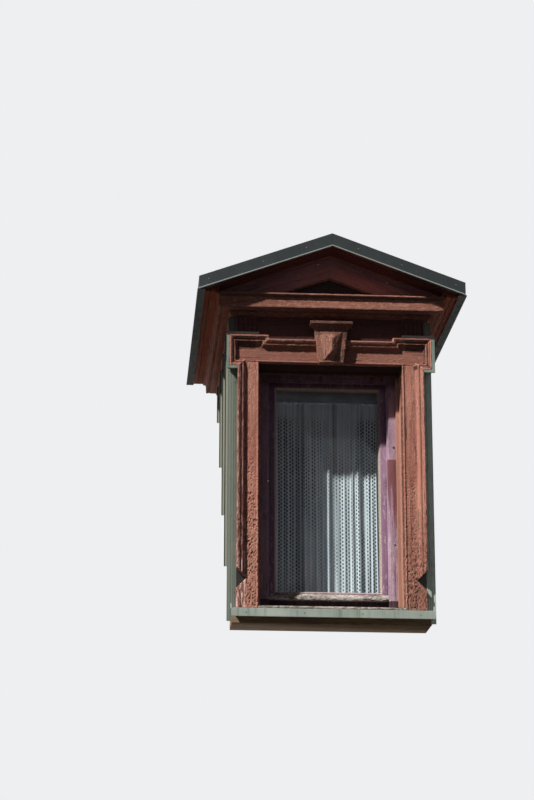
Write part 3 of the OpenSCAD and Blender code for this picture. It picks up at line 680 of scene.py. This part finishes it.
def railPaint():
    finish = Finish("headerBand", rail["tones"])
    weave = finish.noise(*rail["weave"])
    soft = finish.noise(*rail["soft"])
    finish.tint(finish.span(soft, 0.3, 0.7), "faded")
    finish.tint(finish.span(weave, 0.45, 0.7) * 0.4, "thread")
    # painted highlight along the upper edge
    edge = finish.span(finish.z, rail["edgeZ"], rail["edgeZ"] + 0.001)
    finish.tint(edge * (0.6 + soft * 0.4), "edge")
    return finish.done(finish.surface(finish.colour, 0.8, finish.bump(weave, rail["relief"])))


lace = {
    "tones": palette(gap=(12, 16, 22), white=(240, 246, 250), blue=(222, 231, 240)),
    "column": 0.034,
    "holeRows": [(-0.0068, 0.0), (0.0068, 0.5)],  # place in the column, share of a pitch up
    "holePitch": 0.0205,
    "holeWidth": 0.0046,
    "holeHeight": 0.0074,
    "mesh": 0.0021,
    "stripFrom": (0.0125, 0.0155),
    "netTo": (0.0125, 0.01),
    "header": (1.02, 1.08),  # heights between which the holes end
    "fading": ((5.0, 1.3, 1.0), 2.0, 0.5, 4.0),
    "dense": ((13.0, 0.7, 1.0), 1.0, 0.5, 8.0),
    "folds": ((64.0, 0.5, 1.0), 2.0, 0.5, 6.0),
    "cloud": ((4.0, 4.0, 3.0), 3.0, 0.5, 2.0),
    "relief": 0.0008,
}


def laceCloth():
    finish = Finish("netLace", lace["tones"])
    sheet = finish.node("ShaderNodeTexCoord", output="UV")
    u, v = finish.parts(sheet)[:2]
    width, pitch, mesh = lace["column"], lace["holePitch"], lace["mesh"]
    inColumn = (u / width % 1.0 - 0.5) * width
    parity = (u / width * 0.5) % 1.0  # every other column is closer knit
    holes = 0.0
    for place, lag in lace["holeRows"]:
        across = (inColumn - place) / lace["holeWidth"]
        up = ((v / pitch + lag) % 1.0 - 0.5) * pitch / lace["holeHeight"]
        holes = finish.span(across * across + up * up, 1.25, 0.45).most(holes)
    fading = finish.span(finish.noise(*lace["fading"], sheet), 0.35, 0.55, 0.25, 1.0)
    holes = holes * fading * (1.0 - finish.span(v, *lace["header"]))
    strip = finish.span(abs(inColumn), *lace["stripFrom"])  # thicker line between the columns
    thread = abs(u / mesh % 1.0 - 0.5).most(abs(v / mesh % 1.0 - 0.5))
    net = finish.span(thread, 0.2, 0.46)
    thin = finish.span(abs(inColumn), *lace["netTo"]) * finish.span(parity, 0.49, 0.51, 0.25, 0.6)
    dense = finish.span(finish.noise(*lace["dense"], sheet), 0.36, 0.6)
    # painted shade and light of fine folds, in narrow stripes
    folds = finish.span(finish.noise(*lace["folds"], sheet), 0.3, 0.7)
    cloth = 0.54 + dense * 0.36 + folds * 0.34 + net * 0.1 + strip * 0.35 - thin * 0.2
    cloth = cloth.least(1.0) * (1.0 - holes * 0.95)
    cloud = finish.span(finish.noise(*lace["cloud"]), 0.35, 0.7)
    white = finish.mix(cloud, "white", "blue")
    colour = finish.mix(cloth, "gap", white)
    return finish.done(finish.surface(colour, 0.85, finish.bump(cloth, lace["relief"])))


steel = {
    "tones": palette(bright=(120, 122, 120), rust=(110, 78, 58)),
    "spots": ((400.0, 400.0, 400.0), 4.0, 0.6, 3.0),
    "relief": 0.0004,
}


def steelHead():
    finish = Finish("nailHead", steel["tones"])
    spots = finish.noise(*steel["spots"])
    rusty = finish.span(spots, 0.42, 0.62)
    colour = finish.mix(rusty, "bright", "rust")
    rough = 0.4 + finish.span(spots, 0.4, 0.65) * 0.4
    return finish.done(finish.surface(colour, rough, finish.bump(spots, steel["relief"]), 0.5, 0.7))


print("materials")
looks = {
    "architrave": paintedWood("architravePaint", oldPaint, "z", hollows, lostPaint, chips),
    "architraveHead": paintedWood("headPaint", headPaint, "x", hollows, chips),
    "cornice": paintedWood("cornicePaint", cornicePaint, "x", hollows, coveSoot, chips),
    "key": paintedWood("keystonePaint", keyPaint, "z", hollows, capStains, chips),
    "lining": paintedWood("liningPaint", liningPaint, "z", sootyHead),
    "frieze": paintedWood("friezePaint", friezePaint, "x"),
    "tympanum": paintedWood("tympanumPaint", gablePaint, "x"),
    "raking": paintedWood("rakingPaint", rakingPaint, "rake"),
    "sideCornice": paintedWood("sideCornicePaint", sidePaint, "y"),
    "vergeSoffit": soffitBoards("vergeSoffitPaint", vergePaint, "rake", 0.04),
    "eaveSoffit": soffitBoards("eaveSoffitPaint", soffitPaint, "y", 0.036),
    "frame": paintedWood("windowFramePaint", lilacPaint, "z", wornStile, shadedSides),
    "sash": paintedWood("sashPaint", sashPaint, "z", shadedSides, puttyBevel),
    "bar": paintedWood("weatherBarPaint", barWood, "x"),
    "sill": paintedWood("sillBoardWood", sillWood, "x"),
    "slateVerge": sheetMetal("slateVerge", vergeSheet, "z", vergeLip),
    "slateTrim": sheetMetal("slateTrim", trimSheet, "z"),
    "slateRoof": sheetMetal("slateRoof", slateSheet, "x"),
    "green": sheetMetal("greenSheet", greenSheet, "z"),
    "clad": sheetMetal("cheekSheet", cladSheet, "z", cheekSeams),
    "ear": sheetMetal("earSheet", earSheet, "z", earHem),
    "glass": clearGlass(),
    "rail": railPaint(),
    "lace": laceCloth(),
    "nail": steelHead(),
    "timberX": sawnTimber("timberAcross", "x"),
    "timberY": sawnTimber("timberDeep", "y"),
    "timberZ": sawnTimber("timberUpright", "z"),
    "timberMain": sawnTimber("timberSloping", "main"),
    "timberRake": sawnTimber("timberRafter", "rake"),
    "deck": sawnTimber("roofBoards", "y", "rake", 0.12),
    "wallBoards": sawnTimber("wallBoards", "y", "z", 0.14),
    "gableBoards": sawnTimber("gableBoards", "x", "z", 0.13),
}


nodeLooks = {  # look, and rounding of the edges in metres; left and right ones are alike
    "sill_plate": ("timberX", 0.002),
    "head_beam": ("timberX", 0.002),
    "wall_plates": ("timberY", 0.002),
    "ridge_beam": ("timberY", 0.002),
    "post": ("timberZ", 0.002),
    "sole_plates": ("timberMain", 0.002),
    "rafters": ("timberRake", 0.002),
    "roof_deck": ("deck", 0.0015),
    "cheek_wall": ("wallBoards", 0.0015),
    "gable_wall": ("gableBoards", 0.0015),
    "cheek_cladding": ("clad", 0.0006),
    "roof_sheet": ("slateRoof", 0.0006),
    "verge_fascia": ("slateVerge", 0.0008),
    "eave_trim": ("slateTrim", 0.0006),
    "ear_flashing": ("ear", 0.0006),
    "metal_sill": ("green", 0.0006),
    "eave_soffit": ("eaveSoffit", 0.0015),
    "verge_soffit": ("vergeSoffit", 0.0015),
    "raking_cornice": ("raking", 0.0015),
    "tympanum": ("tympanum", 0.0015),
    "front_cornice": ("cornice", 0.0015),
    "side_cornice": ("sideCornice", 0.0015),
    "frieze": ("frieze", 0.001),
    "architrave": ("architrave", 0.0015),
    "architrave_head": ("architraveHead", 0.0015),
    "keystone": ("key", 0.0015),
    "reveal_lining": ("lining", 0.0015),
    "sill_board": ("sill", 0.002),
    "window_frame": ("frame", 0.0015),
    "sash": ("sash", 0.0015),
    "weather_bar": ("bar", 0.0015),
    "glass": ("glass", 0.0),
    "curtain_rail": ("rail", 0.0015),
    "curtain": ("lace", 0.0),
}
weldReach = 0.00002  # merges the corners of neighbouring triangles
foldedEdge = 0.0009  # sheet has narrower edges and stays flat between them
edgeAngle = math.radians(28)


def softenEdges(piece, width):
    for polygon in piece.data.polygons:
        polygon.use_smooth = width > foldedEdge
    weld = piece.modifiers.new("merge", "WELD")
    weld.merge_threshold = weldReach
    bevel = piece.modifiers.new("edges", "BEVEL")
    bevel.width = width
    bevel.segments = 2
    bevel.limit_method = "ANGLE"
    bevel.angle_limit = edgeAngle
    bevel.harden_normals = True


for name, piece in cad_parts.items():
    look, edge = nodeLooks[name.removesuffix("_left").removesuffix("_right")]
    piece.data.materials.clear()
    piece.data.materials.append(looks[look])
    if edge:
        softenEdges(piece, edge)


def gridNoise(points, scales, seed):  # smooth value noise from 0 to 1 at many points at once
    scaled = points * numpy.array(scales) + seed * 17.31
    cell = numpy.floor(scaled).astype(numpy.int64)
    part = scaled - cell
    part = part * part * (3 - 2 * part)
    total = numpy.zeros(len(points))
    for corner in range(8):
        step = numpy.array([corner & 1, corner >> 1 & 1, corner >> 2 & 1])
        key = cell + step
        mixed = (key[:, 0] * 73856093) ^ (key[:, 1] * 19349663) ^ (key[:, 2] * 83492791)
        mixed = mixed ^ (seed * 2654435)
        mixed = (mixed ^ (mixed >> 13)) * 1274126177 & 0x7FFFFFFF
        mixed = (mixed ^ (mixed >> 11)) & 0xFFFF
        share = numpy.prod(numpy.where(step == 1, part, 1 - part), axis=1)
        total += share * mixed / 65535.0
    return total


def layered(points, scales, seed, octaves):
    total = numpy.zeros(len(points))
    for octave in range(octaves):
        finer = [scale * 2.0**octave for scale in scales]
        total += gridNoise(points, finer, seed + octave) * 0.5 ** (octave + 1)
    return total / (1 - 0.5**octaves)


def rise(values, low, high):
    part = numpy.clip((values - low) / (high - low), 0, 1)
    return part * part * (3 - 2 * part)


def readRows(data, field, width, kind):  # one row of numbers for each vertex or edge
    flat = numpy.empty(len(data) * width, dtype=kind)
    data.foreach_get(field, flat)
    return flat.reshape(-1, width)


def choose(pieces):  # select these only, the first of them active
    bpy.ops.object.select_all(action="DESELECT")
    for piece in pieces:
        piece.select_set(True)
    bpy.context.view_layer.objects.active = pieces[0]


def fineCopy(source, name, look, voxel):  # closed, evenly meshed copy of a piece
    piece = bpy.data.objects.new(name, source.data.copy())
    scene.collection.objects.link(piece)
    piece.data.materials.clear()
    piece.data.materials.append(looks[look])
    choose([piece])
    bpy.ops.object.mode_set(mode="EDIT")
    bpy.ops.mesh.select_all(action="SELECT")
    bpy.ops.mesh.remove_doubles(threshold=weldReach)
    bpy.ops.object.mode_set(mode="OBJECT")
    remesh = piece.modifiers.new("fine", "REMESH")
    remesh.mode = "VOXEL"
    remesh.voxel_size = voxel
    bpy.ops.object.modifier_apply(modifier="fine")
    return piece


jambWear = {
    "voxel": 0.0025,
    "decay": 0.9,
    "flat": "jamb",
    "stretch": (1.0, 1.0, 0.7),  # of the grains of paint, along x, y and z
    "pit": 0.0034,  # depths in metres
    "chip": 0.0035,
    "relief": 0.0054,
    "sand": 0.0011,
}
headWear = dict(
    jambWear, decay=0.4, flat="head", stretch=(0.8, 1.0, 1.0), pit=0.0016, chip=0.0034,
    relief=0.006, sand=0.0014,
)
corniceWear = dict(headWear, voxel=0.003, decay=0.5, flat="", pit=0.0012, chip=0.006, relief=0.004)
keyWear = dict(
    headWear, voxel=0.0022, decay=1.4, flat="", pit=0.002, chip=0.004, relief=0.014, sand=0.0022
)
# Places where the wear and the painted shade of the hollows grow, in metres, and the noises behind
# it
wearPlaces = {
    "left": (-0.2, 0.3),  # from x = 0.2 to x = -0.3
    "foot": (-1.3, 0.1),  # from z = 1.3 down
    "jamb": (-(openX + 0.066), -(openX + 0.058)),
    "head": (-(archZ + 0.078), -(archZ + 0.068)),
    "hollows": (1.37, 1.39),
    "crumbling": (openX + 0.03, openX + 0.05),
}
wearNoises = {  # points to the metre along x, y and z, seed, octaves
    "patch": ((11, 11, 7), 41, 3),
    "nicks": ((38, 38, 38), 21, 3),
    "swell": ((9, 9, 9), 31, 3),
}
grainNoises = {  # the same, stretched along the piece
    "coarse": (120, 3, 2),
    "fine": (230, 9, 1),
    "pits": (165, 51, 1),
}


def wornCopy(nodeName, newName, look, wear):
    piece = fineCopy(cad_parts[nodeName], newName, look, wear["voxel"])
    mesh = piece.data
    points = readRows(mesh.vertices, "co", 3, numpy.float32).astype(float)
    normals = readRows(mesh.vertices, "normal", 3, numpy.float32).astype(float)
    edges = readRows(mesh.edges, "vertices", 2, numpy.int32)
    x, _, z = points.T
    size = len(points)
    count = numpy.bincount(edges.ravel(), minlength=size)

    def around(values):  # mean of each vertex's neighbours
        total = numpy.bincount(edges[:, 0], values[edges[:, 1]], size)
        return (total + numpy.bincount(edges[:, 1], values[edges[:, 0]], size)) / count

    def spread(values, rounds, own):
        for _ in range(rounds):
            values = values * own + around(values) * (1 - own)
        return values

    near = numpy.stack([around(row) for row in points.T], axis=1)
    bend = -numpy.sum((near - points) * normals, axis=1) / wear["voxel"]  # above 0 on an edge
    bend = spread(bend, 2, 0.4)
    # darker in crevices: dirt with painted shade
    dirt = rise(-spread(bend, 5, 0.3), 0.01, 0.055)
    foot = rise(-z, *wearPlaces["foot"])
    decay = wear["decay"] * (0.05 + 0.07 * rise(-x, *wearPlaces["left"]) + foot)
    if wear["flat"]:
        inwards = -z if wear["flat"] == "head" else -numpy.abs(x)
        front = rise(-normals[:, 1], -0.1, 0.3)
        onFlat = rise(inwards, *wearPlaces[wear["flat"]]) * front
        # painted shade: the mouldings of the ears and head are drawn dark but for their edges
        dull = 1 - rise(bend, 0.0, 0.035)
        hollows = 0.9 * (1 - onFlat) * dull * rise(z, *wearPlaces["hollows"])
        dirt = numpy.maximum(dirt, hollows)
    else:
        onFlat = numpy.full(size, 0.25)
    noise = {name: layered(points, *values) for name, values in wearNoises.items()}
    for name, (scale, seed, octaves) in grainNoises.items():
        noise[name] = layered(points, [share * scale for share in wear["stretch"]], seed, octaves)
    strength = decay * (0.25 + 0.75 * onFlat) * (0.4 + 0.9 * rise(noise["patch"], 0.3, 0.7))
    strength += rise(x, *wearPlaces["crumbling"]) * onFlat * foot * 0.25
    pits = rise(noise["pits"], 0.72 - 0.26 * strength, 0.92 - 0.26 * strength)
    pits *= numpy.minimum(0.1 + strength * 1.5, 1.0)
    chips = rise(bend, 0.04, 0.16) * rise(noise["nicks"], 0.5 - decay * 0.12, 0.66)
    move = (noise["swell"] - 0.5) * 0.001
    move += (noise["coarse"] - 0.5) * (0.0006 + wear["relief"] * strength)
    move += (noise["fine"] - 0.5) * wear["sand"]
    move -= pits * wear["pit"] + chips * wear["chip"]
    points += normals * move[:, None]
    mesh.vertices.foreach_set("co", points.astype(numpy.float32).ravel())
    for label, values in (("pit", pits), ("chip", chips), ("flat", onFlat), ("dirt", dirt)):
        layer = mesh.attributes.new(label, "FLOAT", "POINT")
        layer.data.foreach_set("value", values.astype(numpy.float32))
    mesh.shade_smooth()
    mesh.update()
    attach(piece, "root")
    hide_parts(nodeName)
    print(newName, len(mesh.polygons))


print("worn carvings")
wornCopy("architrave_left", "wornJambLeft", "architrave", jambWear)
wornCopy("architrave_right", "wornJambRight", "architrave", dict(jambWear, decay=0.6))
wornCopy("architrave_head", "wornHead", "architraveHead", headWear)
wornCopy("front_cornice", "wornCornice", "cornice", corniceWear)
wornCopy("keystone", "wornKeystone", "key", keyWear)

curtain = {
    "width": 0.58,
    "waist": 0.01,  # share by which it is narrower at half height
    "columns": 560,
    "rows": 56,
    "tuck": 0.004,  # reach up behind the rail
    "gap": 0.003,  # to the back of its solid
    "deepest": 0.029,
    "sway": 0.004,
    "gather": 0.003,
    "crests": [  # place across, reach to the left and right, depth
        (-0.27, 0.006, 0.012, 0.017),
        (-0.247, 0.009, 0.01, 0.01),
        (-0.203, 0.01, 0.013, 0.011),
        (-0.172, 0.012, 0.01, 0.006),
        (-0.144, 0.012, 0.012, 0.008),
        (-0.114, 0.01, 0.008, 0.02),
        (-0.083, 0.01, 0.012, 0.006),
        (-0.052, 0.014, 0.02, 0.013),
        (-0.012, 0.009, 0.01, 0.005),
        (0.018, 0.007, 0.017, 0.024),
        (0.063, 0.012, 0.014, 0.008),
        (0.1, 0.01, 0.012, 0.008),
        (0.126, 0.008, 0.009, 0.006),
        (0.15, 0.008, 0.009, 0.019),
        (0.181, 0.015, 0.018, 0.022),
        (0.232, 0.009, 0.011, 0.012),
        (0.258, 0.008, 0.01, 0.01),
        (0.28, 0.008, 0.01, 0.014),
    ],
}


def foldDepth(x, v):  # v runs from 0 at the top to 1 at the hem
    fold = 0.0
    for order, (place, left, right, depth) in enumerate(curtain["crests"]):
        sway = curtain["sway"] * math.sin(2.4 * v + 1.7 * order) * (1 - 0.4 * v)
        away = x - place - sway
        reach = left if away < 0 else right
        fold += depth * (0.42 + 0.58 * v**0.5) * math.exp(-((away / reach) ** 2))
    gathers = math.sin(230 * x + 3 * math.sin(31 * x)) + 1
    return min(fold + gathers * curtain["gather"] * (1 - v) ** 3, curtain["deepest"])


def hangCurtain():
    near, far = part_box("curtain")
    top = far[2] + curtain["tuck"]
    height = top - near[2]
    back = far[1] - curtain["gap"]
    columns, rows = curtain["columns"], curtain["rows"]
    points = []
    for row in range(rows + 1):
        v = row / rows
        width = curtain["width"] * (1 - curtain["waist"] * math.sin(math.pi * v))
        for column in range(columns + 1):
            x = (column / columns - 0.5) * width
            points.append((x, back - foldDepth(x, v), top - height * v))
    faces = []
    for row in range(rows):
        for column in range(columns):
            first = row * (columns + 1) + column
            faces.append((first, first + columns + 1, first + columns + 2, first + 1))
    mesh = bpy.data.meshes.new("laceCurtain")
    mesh.from_pydata(points, [], faces)
    middle = (rows // 2) * (columns + 1)
    lengths = [0.0]  # along the cloth at half height
    for column in range(columns):
        step = Vector(points[middle + column + 1]) - Vector(points[middle + column])
        lengths.append(lengths[-1] + step.length)
    cloth = mesh.uv_layers.new(name="cloth")
    for polygon in mesh.polygons:
        for loop in polygon.loop_indices:
            row, column = divmod(mesh.loops[loop].vertex_index, columns + 1)
            cloth.data[loop].uv = (lengths[column], (1 - row / rows) * height)
        polygon.use_smooth = True
    mesh.materials.append(looks["lace"])
    piece = bpy.data.objects.new("laceCurtain", mesh)
    scene.collection.objects.link(piece)
    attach(piece, "root")
    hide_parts("curtain")


print("curtain")
hangCurtain()


def headShape(name, radius, height, slot):
    bpy.ops.mesh.primitive_cylinder_add(vertices=14, radius=radius, depth=height)
    piece = bpy.context.object
    piece.name = name
    bpy.ops.object.mode_set(mode="EDIT")
    shape = bmesh.from_edit_mesh(piece.data)
    for face in shape.faces:
        face.select_set(face.normal.z > 0.9)
    bmesh.update_edit_mesh(piece.data)
    bpy.ops.mesh.inset(thickness=radius * 0.35, depth=height * 0.25)
    if slot:
        bpy.ops.mesh.inset(thickness=radius * 0.3, depth=-height * 0.5)
    bpy.ops.object.mode_set(mode="OBJECT")
    piece.data.materials.append(looks["nail"])
    return piece


def nailRow(name, places, radius, height, slot=False):
    pattern = headShape(name + "Pattern", radius, height, slot)
    copies = []
    for place, outward in places:
        copy = pattern.copy()
        copy.data = pattern.data.copy()
        turn = Vector((0, 0, 1)).rotation_difference(Vector(outward)).to_matrix().to_4x4()
        copy.data.transform(Matrix.Translation(Vector(place)) @ turn)
        scene.collection.objects.link(copy)
        copies.append(copy)
    bpy.data.objects.remove(pattern)
    choose(copies)
    bpy.ops.object.join()
    piece = bpy.context.object
    piece.name = name
    bpy.ops.object.shade_smooth_by_angle(angle=math.radians(35))
    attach(piece, "root")


front = (0, -1, 0)
nails = {
    "jambStrip": (0.509, -0.1035),  # x and y of a row up the cladding's front strip
    "jambStripZ": numpy.arange(0.16, 1.32, 0.19),
    "ear": (0.5445, -0.128),
    "earZ": (1.395, 1.46, 1.525),
    "cheek": (0.5215, -0.075),
    "cheekZ": numpy.arange(0.3, 1.6, 0.2),
    "vergeX": (0.14, 0.37, 0.66),
    "vergeDrop": 0.03,  # under the roof's upper edge
    "sillX": (-0.45, -0.15, 0.15, 0.45),
    "sill": (-0.1935, 0.038),
    "frame": ((0.35, 0.996), (0.349, 0.46), (-0.3245, 0.793)),
    "raking": ((-0.066, 0.096), (0.31, 0.1)),  # x, and depth under the roof's upper edge
    "rakingY": -0.132,
}
print("nails")
cladding, verge = [], []
for side in (-1, 1):
    for row, outward in (("jambStrip", front), ("ear", (side, 0, 0)), ("cheek", (side, 0, 0))):
        x, y = nails[row]
        cladding += [((side * x, y, z), outward) for z in nails[row + "Z"]]
    for x in nails["vergeX"]:
        verge.append(((side * x, vergeY - 0.0005, roofTop(x) - nails["vergeDrop"]), front))
sillY, sillZ = nails["sill"]
raking = [((x, nails["rakingY"], roofTop(x) - drop), front) for x, drop in nails["raking"]]
nailRow("claddingNails", cladding, 0.003, 0.0016)
nailRow("vergeNails", verge, 0.003, 0.0014)
nailRow("sillScrews", [((x, sillY, sillZ), front) for x in nails["sillX"]], 0.0035, 0.0016, True)
nailRow("framePins", [((x, frameFace, z), front) for x, z in nails["frame"]], 0.006, 0.006)
nailRow("rakingScrews", raking, 0.005, 0.003, True)

studio = {
    "floorZ": -12,
    "floorSize": 150,
    "floorSeen": paintTone(196, 194, 190),
    "floorLight": paintTone(46, 40, 38),  # what the floor throws back on the dormer
    "sky": (0.62, 0.76, 1.0, 1.0),
    "skyStrength": 0.08,
    "backdrop": (0.97, 0.98, 1.0, 1.0),
    "backdropStrength": 0.88,
}
print("stage")
bpy.ops.mesh.primitive_plane_add(size=studio["floorSize"], location=(0, 0, studio["floorZ"]))
floor = bpy.context.object
floor.name = "studioFloor"
paleFloor = Finish("paleFloor", studio)
seen = paleFloor.seenBy("Camera", "Glossy")
floorTone = paleFloor.mix(seen, "floorLight", "floorSeen")
floor.data.materials.append(paleFloor.done(paleFloor.surface(floorTone, 0.9)))
bpy.ops.object.transform_apply(location=True, rotation=True, scale=True)

scene.world = bpy.data.worlds.new("studio")
air = NodeGraph(scene.world)
lights = []
for name in ("sky", "backdrop"):
    values = {"Color": studio[name], "Strength": studio[name + "Strength"]}
    lights.append(air.node("ShaderNodeBackground", {}, values))
seen = air.seenBy("Camera", "Glossy", "Transmission")
choice = air.node("ShaderNodeMixShader", {}, {0: seen, 1: lights[0], 2: lights[1]})
air.node("ShaderNodeOutputWorld", {}, {"Surface": choice})

lamps = {
    # strength, width in degrees, colour and direction of the rays
    "sun": (5.9, 2.0, (1.0, 0.975, 0.94), (1.25, 1.0, -1.65)),
    "backFill": (1.5, 100, (0.95, 0.97, 1.0), (-0.25, -1.0, -0.55)),
}
for name, (energy, angle, colour, towards) in lamps.items():
    light = bpy.data.lights.new(name, "SUN")
    light.energy = energy
    light.angle = math.radians(angle)
    light.color = colour
    piece = bpy.data.objects.new(name, light)
    scene.collection.objects.link(piece)
    piece.rotation_euler = Vector(towards).to_track_quat("-Z", "Y").to_euler()

view = {
    "eye": (-1.1, -10.5, -2.1),
    "pitch": 0.26805,
    "yaw": 0.05979,
    "roll": 0.00455,
    "focal": 2059.2,  # in pixels of a picture as wide as the next value
    "pixels": 534,
    "sensor": 36.0,
    "shift": (0.05, 0.15),  # both in widths of the picture
    "far": 200.0,
}
camera = bpy.data.objects.new("camera", bpy.data.cameras.new("camera"))
scene.collection.objects.link(camera)
camera.data.sensor_fit = "HORIZONTAL"
camera.data.sensor_width = view["sensor"]
camera.data.lens = view["focal"] / view["pixels"] * view["sensor"]
camera.data.clip_end = view["far"]
camera.data.shift_x, camera.data.shift_y = view["shift"]
pitch, yaw, roll = view["pitch"], view["yaw"], view["roll"]
ahead = Vector((math.sin(yaw) * math.cos(pitch), math.cos(yaw) * math.cos(pitch), math.sin(pitch)))
right = Vector((math.cos(yaw), -math.sin(yaw), 0.0))
above = right.cross(ahead)
rolledRight = right * math.cos(roll) + above * math.sin(roll)
rolledUp = above * math.cos(roll) - right * math.sin(roll)
turn = Matrix((rolledRight, rolledUp, -ahead)).transposed().to_4x4()
camera.matrix_world = Matrix.Translation(view["eye"]) @ turn
scene.camera = camera
scene.view_settings.view_transform = "Standard"
